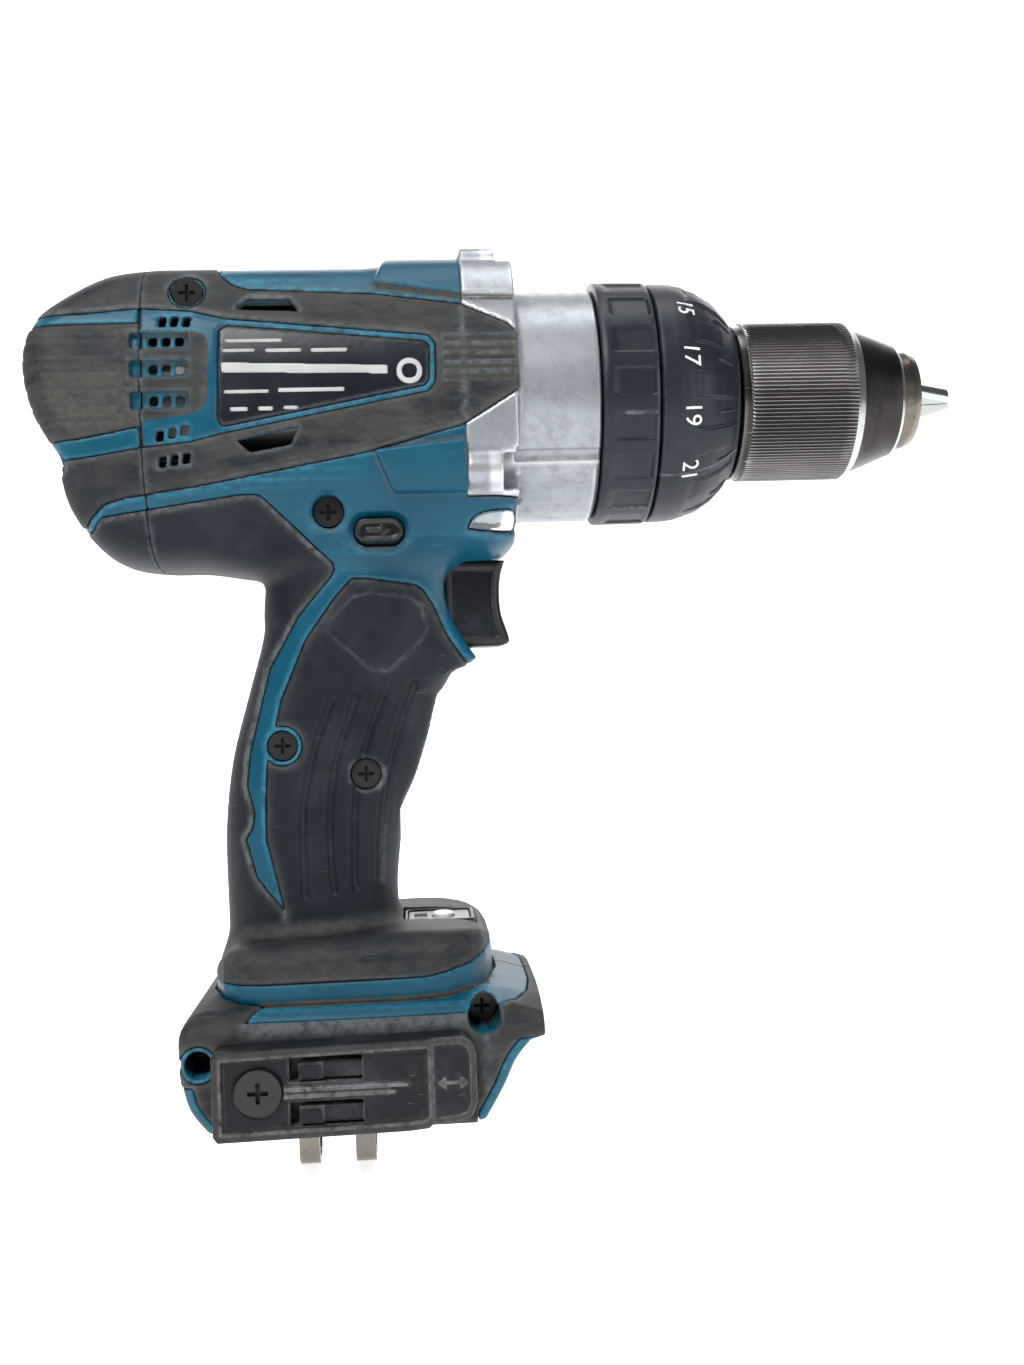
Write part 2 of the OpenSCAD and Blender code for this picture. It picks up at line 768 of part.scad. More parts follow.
module planet_2c() { planet_2(planet_angles[2]); }
module spindle() {
    color(steel) difference() {
        union() {
            rod(carrier_2_x, 15);
            planet_pins([planet_2_x[0], carrier_2_x[0] + 0.1], arm_2, pin_2_r);
            rod([carrier_2_x[1], chuck_rear_x], spindle_r);
            rod([chuck_rear_x - 1.8, chuck_rear_x], 8);
            rod([chuck_rear_x, -35], 6.3);
            // Turning ratchet face of the hammer action
            rod([-99, -96.5], 11.5);
            around([for (k = [0:11]) k * 30]) box([-96.6, -95.6], [-0.9, 0.9], [7.3, 11.2]);
        }
        rod([-50, -30], 2.5);
    }
}

// ---- Keyless chuck ----
// Outer radius of the closed jaws at x, measured from the spindle axis
function jaw_outer(x) = (jaw_meet_x - x) * tan(jaw_tilt) + jaw_r / cos(jaw_tilt);
module jaw_bar(a, x, r) {
    rotate([a, 0, 0]) translate([jaw_meet_x, 0, 0]) rotate([0, -jaw_tilt, 0])
        rod([x[0] - jaw_meet_x, x[1] - jaw_meet_x], r);
}
module chuck_body() {
    color(steel) difference() {
        turned() polygon([
            [0, chuck_rear_x], [14, chuck_rear_x], [chuck_r, -47], [chuck_r, -28.4],
            [9, -28.4], [9, -17.6], [15.6, -17.6], [15.6, -14], [nose_r, -11.5],
            [nose_r, -3.4], [nose_r - 1, -1], [nose_r - 4, nose_x], [0, nose_x]
        ]);
        rod([-34, 1], 6.4);
        rod([chuck_rear_x - 1, -33], 6.3 + seat);
        for (a = planet_angles) jaw_bar(a, [-60, 20], jaw_r + seat);
    }
}
module chuck_nut() {
    x = [-28, -18];
    color(steel) turned() polygon([
        [jaw_outer(x[0]) + 0.35, x[0]], [18, x[0]], [18, x[1]], [jaw_outer(x[1]) + 0.35, x[1]]
    ]);
}
module chuck_sleeve() {
    color(black) turned() polygon([
        [18, chuck_rear_x], [20.2, chuck_rear_x], [20.2, -48], [sleeve_r, -47.6],
        [sleeve_r, -20.4], [19.4, -18.6], [14.6, sleeve_front_x - 0.4],
        [14.2, sleeve_front_x], [nose_r + 0.4, sleeve_front_x], [nose_r + 0.4, -10.6],
        [16.2, -13.4], [18, -17]
    ]);
}
module jaw(a) {
    color(steel) intersection() {
        difference() {
            jaw_bar(a, [jaw_reach - jaw_len, 20], jaw_r);
            // Thread on the outside of the jaw
            for (k = [0:6]) jaw_groove(a, -22 + k * 1.6);
        }
        // The three jaws share the bore in equal wedges, with a small gap between them
        rotate([a, 0, 0]) translate([-60, 0, -0.12]) rotate([90, 0, 90])
            linear_extrude(60 + jaw_reach)
                polygon([[0, 0], [17.3, -10], [17.3, -30], [-17.3, -30], [-17.3, -10]]);
    }
}
module jaw_groove(a, x) {
    rotate([a, 0, 0]) translate([jaw_meet_x, 0, 0]) rotate([0, -jaw_tilt, 0])
        box([x - jaw_meet_x, x - jaw_meet_x + 0.7], [-4, 4], [-jaw_r - 1, -jaw_r + 0.5]);
}
module jaw_1() { jaw(0); }
module jaw_2() { jaw(120); }
module jaw_3() { jaw(240); }

// ---- Collar rings ----
module mode_ring() {
    pads = 12;
    color(black) difference() {
        turned() polygon([
            [snout_r + 0.3, mode_x[1] - 2.5], [27, mode_x[1] - 2.5], [27, mode_x[0]],
            [mode_ring_r - 0.8, mode_x[0]], [mode_ring_r, mode_x[0] + 1],
            [mode_ring_r, mode_x[1] - 1], [mode_ring_r - 0.8, mode_x[1]],
            [snout_r + 0.3, mode_x[1]]
        ]);
        rod([mode_x[1] - 3, mode_x[1] + 1], 22.5);
        around([for (k = [0:pads - 1]) 15 + k * 360 / pads])
            box([mode_x[0] + 3, mode_x[1] - 3], [-5, 5], [mode_ring_r - 0.9, mode_ring_r + 1]);
    }
}
module torque_ring() {
    pads = 12;
    color(black) {
        turned() polygon([
            [28, torque_x[0]], [torque_ring_r - 0.8, torque_x[0]],
            [torque_ring_r, torque_x[0] + 1], [torque_ring_r - 1.4, -65], [26, -57.5],
            [20.4, torque_x[1]], [snout_r + 0.4, torque_x[1]],
            [snout_r + 0.4, -59], [22, -59], [22, -64], [28, -67]
        ]);
        around([for (k = [0:pads - 1]) k * 360 / pads]) translate([-63.8, 0, 26.6]) rotate([0, 24, 0])
                translate([-4, -3.4, 0]) cube([8, 6.8, 2.6]);
    }
}

// ---- Switch, trigger and controls ----
module switch_body() {
    color(black) difference() {
        box(switch_x, [-11.5, 11.5], switch_z);
        box([-164.5, -130], [-5.5, 5.5], [-58, -46]);
    }
}
module trigger() {
    color(black) {
        side(trigger_outline, trigger_half_w);
        box(stem_x, [-4.6, 4.6], stem_z);
    }
}
module trigger_spring() {
    color(steel) translate([0, 0, -52]) swept(coil([-163.8, -143.8], 3, 5, 12), 0.5, 6);
}
module reversing_lever() {
    color(black) box(lever_x, [-lever_half_w, lever_half_w], lever_z);
}
module speed_slider() {
    color(black) {
        box(slider_x, [-7, 7], [34.6, 38.4]);
        box([slider_x[0] + 2, slider_x[1] - 2], [-2.5, 2.5], [29, 35]);
    }
}
module motor_controller() {
    color(alloy) {
        box([-173, -170.4], [-10, 10], [-114, -94]);
        for (k = [0:4]) box([-171, -163], [-10 + k * 4.7, -8.8 + k * 4.7], [-114, -98]);
    }
}

// ---- Wiring and lamps ----
// Leads run from the brushes to the switch, and from the switch to the terminals
brush_lead = [
    [-199, 22.1, -3], [-199, 21, -8], [-198.5, 18.7, -12.2], [-197.5, 17.4, -16.5],
    [-194, 14, -21.5], [-188, 9.5, -28], [-179, 7.5, -32.6], [-169.6, 7.3, -37.6],
    [-167.8, 7.7, -42.2], [-167.75, 8.4, -47.5], [-167.6, 9, -52]
];
battery_lead = [
    [-159.5, 8.5, -66.1], [-159.6, 8.8, -76], [-161, 9.2, -90], [-160.5, 9, -104],
    [-160, 8.5, -118], [-160.5, 8, -132], [-161, 8, -146], [-161, 8, -153.5]
];
lamp_lead = [
    [-118, 14, -32.5], [-124, 12.5, -34], [-130, 11.5, -36], [-134, 10.9, -38.4],
    [-138, 10.6, -39.5], [-146, 9, -40.75]
];
module lead_wires() {
    color([0.6, 0.12, 0.1]) {
        swept(smooth(brush_lead, 2), 1.3);
        swept(battery_lead, 1.5);
        swept(lamp_lead, 0.7, 6);
    }
    color([0.1, 0.1, 0.1]) mirror([0, 1, 0]) {
        swept(smooth(brush_lead, 2), 1.3);
        swept(battery_lead, 1.5);
        swept(lamp_lead, 0.7, 6);
    }
}
module lamps() {
    color([0.95, 0.95, 0.85]) mirrored() box([-119.6, -116.4], [16.4, 18.4], [-33, -30]);
}
module lamp_lenses() {
    color([0.85, 0.9, 0.92]) mirrored() intersection() {
        barrel_form(0.1);
        box([-120.9, -112.6], [18.6, 40], [-34.4, -28.7]);
    }
}

// ---- Foot fittings ----
module gauge_panel() {
    color([0.45, 0.46, 0.48]) difference() {
        box([-140.2, -121.8], [-9.2, 9.2], [platform_z - 4.5, platform_z - 0.4]);
        box([button_pos[0] - 2.9, button_pos[0] + 2.9], [-4.4, 4.4], [platform_z - 4, 0]);
    }
}
module gauge_button() {
    color([0.9, 0.9, 0.9]) translate([button_pos[0], 0, platform_z - 2.8])
        linear_extrude(3) polygon(superellipse(2.5, 4, 2.2, 20));
}
module terminal_block() {
    color(black) difference() {
        union() {
            box([-176, -146], [-13, 13], [-170.5, -154.5]);
            box([-176, -130], [-13, 13], [-159.9, -158.6]);
        }
        for (y = [-8, 8]) box([-158, -140], [y - 0.6, y + 0.6], [-168.4, -162]);
    }
}
module terminal_blades() {
    color(copper) for (y = [-8, 8])
        box([-158, -130], [y - 0.6, y + 0.6], [-168.4, -162]);
}
holder_y = [-45.6, -37.05];
bit_zs = [-160.2, -171];
module bit_holder() {
    outline = [
        [holder_x0, holder_z[0] + 1], [holder_x0 + 1.5, holder_z[0]], [-140, holder_z[0] + 0.8],
        [-126, holder_z[0] + 2], [holder_x1, holder_z[0] + 5], [holder_x1, holder_z[1] - 4],
        [-127.5, holder_z[1] + 1], [-184, holder_z[1]], [holder_x0, holder_z[1] - 2]
    ];
    color(black) difference() {
        side_between(outline, holder_y[0], holder_y[1]);
        // A channel for a hexagonal bit at the top and at the bottom
        for (z = bit_zs) {
            box([-167, -118], [holder_y[0] + 0.9, holder_y[0] + 7.6], [z - 3.3, z + 3.3]);
            box([-166.4, -150], [-60, holder_y[0] + 4], [z - 2.6, z + 2.6]);
        }
        cross_rod(holder_screw, [-60, 0], side_screw_r + seat);
        cross_rod(holder_screw, [-60, holder_y[0] + 2], 5.6);
    }
}
module side_screw(y, length, r) {
    translate([0, y, 0]) rotate([-90, 0, 0]) {
        cylinder(h = length, r = side_screw_r, $fn = 24);
        translate([0, 0, -1.9]) difference() {
            cylinder(h = 1.9, r = r, $fn = 40);
            for (a = [0, 90]) rotate(a) translate([-2.4, -0.5, -1]) cube([4.8, 1, 2.2]);
        }
    }
}
module bit_holder_screw() {
    color(steel) translate([holder_screw[0], 0, holder_screw[1]])
        side_screw(holder_y[0] + 2, 9.6, 5.4);
}
// The hook is a strip bent into a U below its mounting tab
module belt_hook() {
    y0 = foot_half_w + 0.05;
    mid_y = y0 + hook_t + hook_gap / 2;
    bend_z = hook_z + hook_t + hook_gap / 2;
    x = [hook_x - hook_w / 2, hook_x + hook_w / 2];
    color(alloy) difference() {
        union() {
            box(x, [y0, y0 + hook_t], [bend_z, -156]);
            box(x, [y0 + hook_t + hook_gap, y0 + 2 * hook_t + hook_gap], [bend_z, -163]);
            translate([x[0], mid_y, bend_z]) rotate([0, 90, 0]) difference() {
                cylinder(h = hook_w, r = hook_gap / 2 + hook_t, $fn = 48);
                translate([0, 0, -1]) cylinder(h = hook_w + 2, r = hook_gap / 2, $fn = 48);
                translate([-30, -30, -1]) cube([30, 60, hook_w + 2]);
            }
        }
        box([hook_x - hook_slot_w / 2, hook_x + hook_slot_w / 2], [y0 - 1, y0 + 30],
            [hook_z - 1, -176]);
        cross_rod([hook_x, hook_screw_z], [y0 - 1, y0 + 30], 3.2);
    }
}
module belt_hook_screw() {
    color(steel) translate([hook_x, 0, hook_screw_z]) mirror([0, 1, 0])
        side_screw(-foot_half_w - 0.1 - hook_t, 6, 5);
}

housing_right();
housing_left();
rear_cover();
overmould_right();
overmould_left();
rear_cover_rubber();
name_plates();
housing_screws();
gear_case();
gear_case_screws();
gearbox_tube();
ring_gear_1();
ring_gear_2();
clutch_pins();
clutch_washer();
clutch_spring();
hammer_cam();
bearings();
motor_can();
magnets();
brush_holder();
brushes();
brush_springs();
switch_body();
trigger_spring();
motor_controller();
lead_wires();
lamps();
lamp_lenses();
gauge_panel();
terminal_block();
terminal_blades();
bit_holder();
bit_holder_screw();
belt_hook();
belt_hook_screw();
armature();
commutator();
fan();
motor_pinion();
carrier_1();
planet_1a();
planet_1b();
planet_1c();
planet_2a();
planet_2b();
planet_2c();
spindle();
chuck_body();
chuck_sleeve();
chuck_nut();
jaw_1();
jaw_2();
jaw_3();
mode_ring();
torque_ring();
trigger();
reversing_lever();
speed_slider();
gauge_button();
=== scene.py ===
import json
import math

import bmesh
import bpy
import numpy as np
import openvdb
from mathutils import Matrix, Vector


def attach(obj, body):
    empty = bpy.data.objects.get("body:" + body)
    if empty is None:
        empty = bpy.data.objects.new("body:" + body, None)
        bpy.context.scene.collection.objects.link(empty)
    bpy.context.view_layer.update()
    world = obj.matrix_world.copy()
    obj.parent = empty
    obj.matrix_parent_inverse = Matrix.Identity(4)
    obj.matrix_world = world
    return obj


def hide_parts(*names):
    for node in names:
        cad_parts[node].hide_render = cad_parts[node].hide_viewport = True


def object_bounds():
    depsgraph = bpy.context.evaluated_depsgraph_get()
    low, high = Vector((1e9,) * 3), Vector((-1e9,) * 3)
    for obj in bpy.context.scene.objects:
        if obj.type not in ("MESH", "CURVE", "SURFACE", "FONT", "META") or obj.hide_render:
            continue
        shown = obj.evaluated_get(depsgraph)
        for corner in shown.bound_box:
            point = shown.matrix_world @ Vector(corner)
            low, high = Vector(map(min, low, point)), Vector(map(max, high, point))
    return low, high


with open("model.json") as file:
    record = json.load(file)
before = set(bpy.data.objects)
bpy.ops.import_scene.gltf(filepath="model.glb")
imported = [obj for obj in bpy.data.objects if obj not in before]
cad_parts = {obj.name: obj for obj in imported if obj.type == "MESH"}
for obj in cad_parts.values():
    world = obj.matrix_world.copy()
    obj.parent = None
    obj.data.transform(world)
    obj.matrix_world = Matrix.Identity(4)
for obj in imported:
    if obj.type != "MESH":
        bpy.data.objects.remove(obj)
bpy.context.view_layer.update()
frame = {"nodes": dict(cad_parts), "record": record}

MM = 0.001


# ---------------------------------------------------------------- camera
camera = bpy.data.objects.new("camera", bpy.data.cameras.new("camera"))
bpy.context.collection.objects.link(camera)
camera.data.sensor_fit = "VERTICAL"
camera.data.sensor_height = 36
camera.data.lens = 36.92
camera.data.clip_start = 0.02
camera.location = (-0.1357, -0.3691, -0.0726)
look = Vector((math.sin(math.radians(4)), math.cos(math.radians(4)), 0))
camera.rotation_euler = (look.to_track_quat("-Z", "Y").to_matrix()
    @ Matrix.Rotation(math.radians(-1.85), 3, "Z")).to_euler()
bpy.context.scene.camera = camera
bpy.context.scene.view_settings.view_transform = "Standard"


# ---------------------------------------------------------------- materials
finishes = {}


class Finish:
    """A procedural finish that is built up layer by layer."""

    def __init__(self, name, rough=0.5, metallic=0.0, specular=0.5, transmission=0.0, ior=1.5):
        self.name = name
        self.material = bpy.data.materials.new(name)
        self.material.use_nodes = True
        self.tree = self.material.node_tree
        self.shader = self.tree.nodes["Principled BSDF"]
        put = self.shader.inputs
        put["Metallic"].default_value = metallic
        put["Roughness"].default_value = rough
        put["Specular IOR Level"].default_value = specular
        put["Transmission Weight"].default_value = transmission
        put["IOR"].default_value = ior
        self.colour = None
        self.roughness = None
        self.height = None
        self.metal = None
        self.space = self.node("ShaderNodeTexCoord").outputs["Object"]

    def link(self, a, b):
        self.tree.links.new(a, b)

    def node(self, kind, **values):
        node = self.tree.nodes.new(kind)
        for key, value in values.items():
            if key in node.inputs:
                node.inputs[key].default_value = value
            else:
                setattr(node, key, value)
        return node

    def noise(self, size, detail=4.0, rough=0.6, scale=(1, 1, 1), offset=0.0):
        """Cloudy noise with blotches about size millimetres across."""
        n = self.node("ShaderNodeTexNoise", Scale=1 / (size * MM), Detail=detail, Roughness=rough)
        m = self.node("ShaderNodeMapping")
        m.inputs["Scale"].default_value = scale
        m.inputs["Location"].default_value = (offset, offset * 0.7, -offset)
        self.link(self.space, m.inputs["Vector"])
        self.link(m.outputs["Vector"], n.inputs["Vector"])
        return n.outputs["Fac"]

    def ramp(self, value, low, high, a=0.0, b=1.0):
        r = self.node("ShaderNodeMapRange")
        r.inputs["From Min"].default_value = low
        r.inputs["From Max"].default_value = high
        r.inputs["To Min"].default_value = a
        r.inputs["To Max"].default_value = b
        self.link(value, r.inputs["Value"])
        return r.outputs["Result"]

    def math(self, operation, a, b):
        m = self.node("ShaderNodeMath", operation=operation)
        for i, v in enumerate((a, b)):
            if isinstance(v, (int, float)):
                m.inputs[i].default_value = v
            else:
                self.link(v, m.inputs[i])
        return m.outputs[0]

    def attribute(self, name):
        return self.node("ShaderNodeAttribute", attribute_name=name).outputs["Fac"]

    def pointiness(self):
        return self.node("ShaderNodeNewGeometry").outputs["Pointiness"]

    def axis(self, index):
        s = self.node("ShaderNodeSeparateXYZ")
        self.link(self.space, s.inputs[0])
        return s.outputs[index]

    def base(self, colour):
        m = self.node("ShaderNodeRGB")
        m.outputs[0].default_value = (*colour, 1)
        self.colour = m.outputs[0]
        return self

    def over(self, colour, mask, rough=None, metal=None):
        """Lays a colour over what is there, where mask is 1."""
        m = self.node("ShaderNodeMix", data_type="RGBA")
        self.link(mask, m.inputs["Factor"])
        self.link(self.colour, m.inputs["A"])
        m.inputs["B"].default_value = (*colour, 1)
        self.colour = m.outputs["Result"]
        if rough is not None:
            self.roughness = self.blend(self.roughness, rough, mask,
                self.shader.inputs["Roughness"].default_value)
        if metal is not None:
            self.metal = self.blend(self.metal, metal, mask,
                self.shader.inputs["Metallic"].default_value)
        return self

    def blend(self, under, value, mask, start):
        r = self.node("ShaderNodeMix", data_type="FLOAT")
        self.link(mask, r.inputs["Factor"])
        if under is None:
            r.inputs["A"].default_value = start
        else:
            self.link(under, r.inputs["A"])
        r.inputs["B"].default_value = value
        return r.outputs["Result"]

    def bump(self, height, millimetres):
        h = self.math("MULTIPLY", height, millimetres * MM)
        self.height = h if self.height is None else self.math("ADD", self.height, h)
        return self

    def done(self):
        for value, socket in ((self.colour, "Base Color"), (self.roughness, "Roughness"),
                (self.metal, "Metallic")):
            if value is not None:
                self.link(value, self.shader.inputs[socket])
        if self.height is not None:
            b = self.node("ShaderNodeBump", Distance=1.0, Strength=1.0)
            self.link(self.height, b.inputs["Height"])
            self.link(b.outputs["Normal"], self.shader.inputs["Normal"])
        finishes[self.name] = self.material
        return self.material


def srgb(r, g, b):
    def one(c):
        c /= 255
        return c / 12.92 if c <= 0.04045 else ((c + 0.055) / 1.055) ** 2.4
    return one(r), one(g), one(b)


def plastic(name, base, light, dust, rough=0.45, grain=0.35, grain_depth=0.03, wear=1.0, dirt=1.0,
        masks=True, specular=0.5, dusty=None):
    """Moulded plastic or rubber: clouded colour, rubbed edges, dust in the corners."""
    f = Finish(name, rough=rough, specular=specular)
    f.base(base)
    dark = tuple(c * 0.6 for c in base)
    f.over(dark, f.ramp(f.noise(26, 4, 0.55), 0.42, 0.7, 0, 0.55))
    f.over(light, f.ramp(f.noise(19, 5, 0.6, offset=0.31), 0.5, 0.76, 0, 0.13 * wear), rough + 0.1)
    if masks:
        edge = f.attribute("edge")
        crease = f.attribute("crease")
    else:
        edge = f.ramp(f.pointiness(), 0.53, 0.62)
        crease = f.ramp(f.pointiness(), 0.47, 0.4)
    if dusty is not None:
        low, high, amount = dusty
        z = f.axis(2)
        where = f.math("MAXIMUM", f.ramp(z, low * MM, (low + 14) * MM),
            f.ramp(z, high * MM, (high - 6) * MM))
        haze = f.math("MULTIPLY", f.ramp(f.noise(7, 7, 0.72, scale=(0.5, 1, 1.4), offset=0.7),
            0.34, 0.66), amount)
        f.over(dust, f.math("MULTIPLY", where, haze), 0.8)
    # Lighter convex edges: rubbed wear; on the bit holder, with its strong wear, partly a painted
    # highlight too
    patchy = f.ramp(f.noise(2.4, 5, 0.7), 0.34, 0.6)
    f.over(light, f.math("MULTIPLY", edge, f.math("MULTIPLY", patchy, 0.85 * wear)), rough + 0.1)
    scratches = f.ramp(f.noise(0.6, 2, 0.5, scale=(0.1, 0.1, 1.2)), 0.71, 0.77, 0, 0.3 * wear)
    f.over(light, scratches, rough + 0.15)
    specks = f.ramp(f.noise(0.9, 3, 0.7, offset=0.9), 0.7, 0.76, 0, 0.3 * dirt)
    f.over(dust, specks, 0.85)
    f.over(dust, f.math("MULTIPLY", crease, f.ramp(f.noise(1.6, 6, 0.7, offset=0.4), 0.32, 0.6,
        0.15, 0.85 * dirt)), 0.9)
    f.bump(f.noise(grain, 2, 0.5), grain_depth)
    f.bump(f.noise(6, 3, 0.5), 0.1)
    return f.done()


TEAL = srgb(0, 70, 92)
TEAL_LIGHT = srgb(48, 122, 148)
RUBBER = srgb(19, 25, 33)
RUBBER_LIGHT = srgb(84, 90, 95)
BLACK = srgb(16, 18, 23)
DUST = srgb(84, 82, 77)
DARK_DUST = srgb(92, 83, 71)
SILVER = srgb(150, 155, 162)

teal_plastic = plastic("teal_plastic", TEAL, TEAL_LIGHT, DARK_DUST, 0.4, 0.5, 0.02, wear=0.8,
    dirt=1.5, specular=0.24)
overmould_rubber = plastic("overmould_rubber", RUBBER, RUBBER_LIGHT, DUST, 0.52, 0.6, 0.07,
    wear=1.3, specular=0.18, dusty=(-30, -130, 0.5))
plastic("black_plastic", BLACK, srgb(70, 74, 80), DUST, 0.4, 0.4, 0.02, masks=False)
ring_plastic = plastic("ring_plastic", srgb(22, 27, 36), srgb(86, 94, 104), DUST, 0.42, 0.35,
    0.015, wear=1.1, masks=False, specular=0.3)
plate_plastic = plastic("plate_plastic", srgb(16, 22, 31), srgb(84, 92, 102), DUST, 0.3, 0.6,
    0.006, wear=0.9, dirt=0.5, specular=0.3)


def metal(name, base, dark, light, rough=0.3, brushed=(1, 1, 1), stain=None, grain=0.4,
        depth=0.006, masks=False, metallic=1.0, specks=0.0):
    """Worn metal: brushed tone, darker pits, bright rubbed edges and stains."""
    f = Finish(name, rough=rough, metallic=metallic, specular=0.3)
    f.base(base)
    f.over(dark, f.ramp(f.noise(4, 6, 0.7, scale=brushed), 0.45, 0.75, 0, 0.7), rough + 0.12)
    f.over(dark, f.ramp(f.noise(1.1, 4, 0.8, offset=0.6), 0.62, 0.72, 0, 0.45), rough + 0.2)
    if masks:
        edge, crease = f.attribute("edge"), f.attribute("crease")
    else:
        edge = f.ramp(f.pointiness(), 0.51, 0.58)
        crease = f.ramp(f.pointiness(), 0.49, 0.44)
    f.over(light, f.math("MULTIPLY", edge, 0.8), rough * 0.8)
    if stain:
        f.over(stain, f.math("MULTIPLY", crease, f.ramp(f.noise(1.6, 6, 0.8), 0.3, 0.6, 0.2, 1)),
            0.85, 0.2)
        f.over(stain, f.ramp(f.noise(5, 8, 0.8, offset=1.3), 0.6, 0.78, 0, 0.75), 0.8, 0.3)
    if specks:
        f.over(srgb(60, 58, 54), f.ramp(f.noise(0.7, 4, 0.8, offset=2.2), 0.69, 0.74, 0, specks),
            0.8, 0.0)
    f.bump(f.noise(grain, 3, 0.6, scale=brushed), depth)
    return f.done()


cast_alloy = metal("cast_alloy", SILVER, srgb(112, 116, 122), srgb(205, 209, 213), 0.36,
    stain=srgb(88, 80, 68), grain=0.5, depth=0.03, masks=True, metallic=0.55, specks=0.95)
metal("chuck_steel", srgb(112, 104, 94), srgb(62, 54, 46), srgb(190, 186, 180), 0.25,
    stain=srgb(98, 62, 36))
sleeve_steel = metal("sleeve_steel", srgb(84, 81, 80), srgb(40, 38, 39), srgb(170, 170, 170), 0.22,
    brushed=(0.3, 1, 1), stain=srgb(66, 56, 48))
metal("jaw_steel", srgb(78, 82, 80), srgb(50, 54, 52), srgb(180, 184, 180), 0.24,
    brushed=(0.3, 2, 2), stain=srgb(104, 94, 78))
metal("screw_steel", srgb(17, 17, 19), srgb(8, 8, 9), srgb(36, 36, 38), 0.34,
    stain=srgb(36, 32, 28), metallic=0.0)
metal("hook_steel", srgb(84, 79, 70), srgb(54, 47, 38), srgb(150, 145, 136), 0.3,
    stain=srgb(112, 92, 70))
metal("gear_steel", srgb(150, 150, 152), srgb(90, 90, 92), srgb(200, 200, 200), 0.3)
metal("spring_steel", srgb(120, 122, 126), srgb(70, 70, 74), srgb(190, 190, 192), 0.28)
metal("can_steel", srgb(132, 134, 138), srgb(86, 86, 90), srgb(180, 180, 184), 0.38)
metal("contact_copper", srgb(184, 118, 70), srgb(120, 70, 40), srgb(226, 168, 120), 0.28)
metal("magnet_ferrite", srgb(58, 56, 58), srgb(34, 33, 35), srgb(90, 90, 92), 0.6, metallic=0.1)
metal("heat_sink_alloy", srgb(160, 164, 170), srgb(120, 122, 126), srgb(205, 208, 210), 0.4)
plastic("brush_carbon", srgb(34, 33, 33), srgb(80, 78, 78), DUST, 0.6, masks=False)
plastic("lead_insulation", srgb(140, 26, 22), srgb(190, 80, 70), DUST, 0.45, masks=False)
plastic("lamp_white", srgb(225, 222, 205), srgb(245, 244, 236), DUST, 0.3, masks=False, wear=0.4,
    dirt=0.3)
plastic("button_white", srgb(222, 224, 222), srgb(244, 244, 242), DUST, 0.35, masks=False,
    wear=0.5, dirt=0.6)
label_light = plastic("label_light", srgb(176, 178, 178), srgb(214, 214, 210), DUST, 0.5,
    masks=False, wear=1.0, dirt=1.2)
paint_white = plastic("paint_white", srgb(205, 209, 208), srgb(232, 234, 230), DUST, 0.5,
    masks=False, wear=0.6, dirt=1.0)
plastic("panel_grey", srgb(104, 102, 98), srgb(160, 158, 152), DUST, 0.36, masks=False, wear=1.0,
    dirt=0.6)


def clear(name):
    f = Finish(name, rough=0.06, transmission=0.92, ior=1.49)
    f.base(srgb(226, 232, 236))
    f.over(srgb(150, 152, 150), f.ramp(f.noise(1.5, 5, 0.7), 0.6, 0.8, 0, 0.5), 0.5)
    f.bump(f.noise(1.2, 2, 0.5), 0.02)
    return f.done()


lens_clear = clear("lens_clear")


# ---------------------------------------------------------------- distance fields, in mm
class Grid:
    def __init__(self, x, y, z, step):
        self.step = step
        self.low = np.array([x[0], y[0], z[0]], dtype=np.float32)
        counts = [int(math.ceil((b - a) / step)) + 1 for a, b in (x, y, z)]
        axes = [self.low[i] + step * np.arange(n, dtype=np.float32) for i, n in enumerate(counts)]
        self.x = axes[0][:, None, None]
        self.y = axes[1][None, :, None]
        self.z = axes[2][None, None, :]
        self.ay = np.abs(self.y)
        self.shape = tuple(counts)


def nearest(u, v, points):
    """Distance to the line through the points."""
    best = None
    for (ax, az), (bx, bz) in zip(points, points[1:]):
        ex, ez = bx - ax, bz - az
        wx, wz = u - ax, v - az
        t = np.clip((wx * ex + wz * ez) / (ex * ex + ez * ez), 0, 1)
        d = (wx - ex * t) ** 2 + (wz - ez * t) ** 2
        best = d if best is None else np.minimum(best, d)
    return np.sqrt(best).astype(np.float32)


def poly(g, points, u=None, v=None):
    """Signed distance to an outline in the XZ plane, negative inside."""
    u = g.x if u is None else u
    v = g.z if v is None else v
    closed = list(points) + [points[0]]
    inside = False
    for (ax, az), (bx, bz) in zip(closed, closed[1:]):
        if az != bz:
            crosses = (v >= az) != (v >= bz)
            inside = inside ^ (crosses & (u < ax + (v - az) * (bx - ax) / (bz - az)))
    distance = nearest(u, v, closed)
    return np.where(inside, -distance, distance)


def line(g, points):
    """Distance to an open line in the XZ plane."""
    return nearest(g.x, g.z, points)


def disc(g, centre, r):
    return (np.hypot(g.x - centre[0], g.z - centre[1]) - r).astype(np.float32)


def meet(first, *more):
    """What all the fields share, with sharp edges."""
    for field in more:
        first = np.maximum(first, field)
    return first


def join(first, *more):
    for field in more:
        first = np.minimum(first, field)
    return first


def span(v, low, high):
    return meet(low - v, v - high)


def both(a, b, r=0.0):
    """Intersection with an edge rounded to radius r."""
    if np.isscalar(r) and r == 0:
        return np.maximum(a, b)
    p, q = a + r, b + r
    return np.minimum(np.maximum(p, q), 0) + np.hypot(np.maximum(p, 0), np.maximum(q, 0)) - r


def melt(a, b, k):
    """Union with a soft fillet about k wide."""
    h = np.clip(0.5 + 0.5 * (b - a) / k, 0, 1)
    return b + (a - b) * h - k * h * (1 - h)


def cut(a, b, r=0.0):
    return both(a, -b, r)


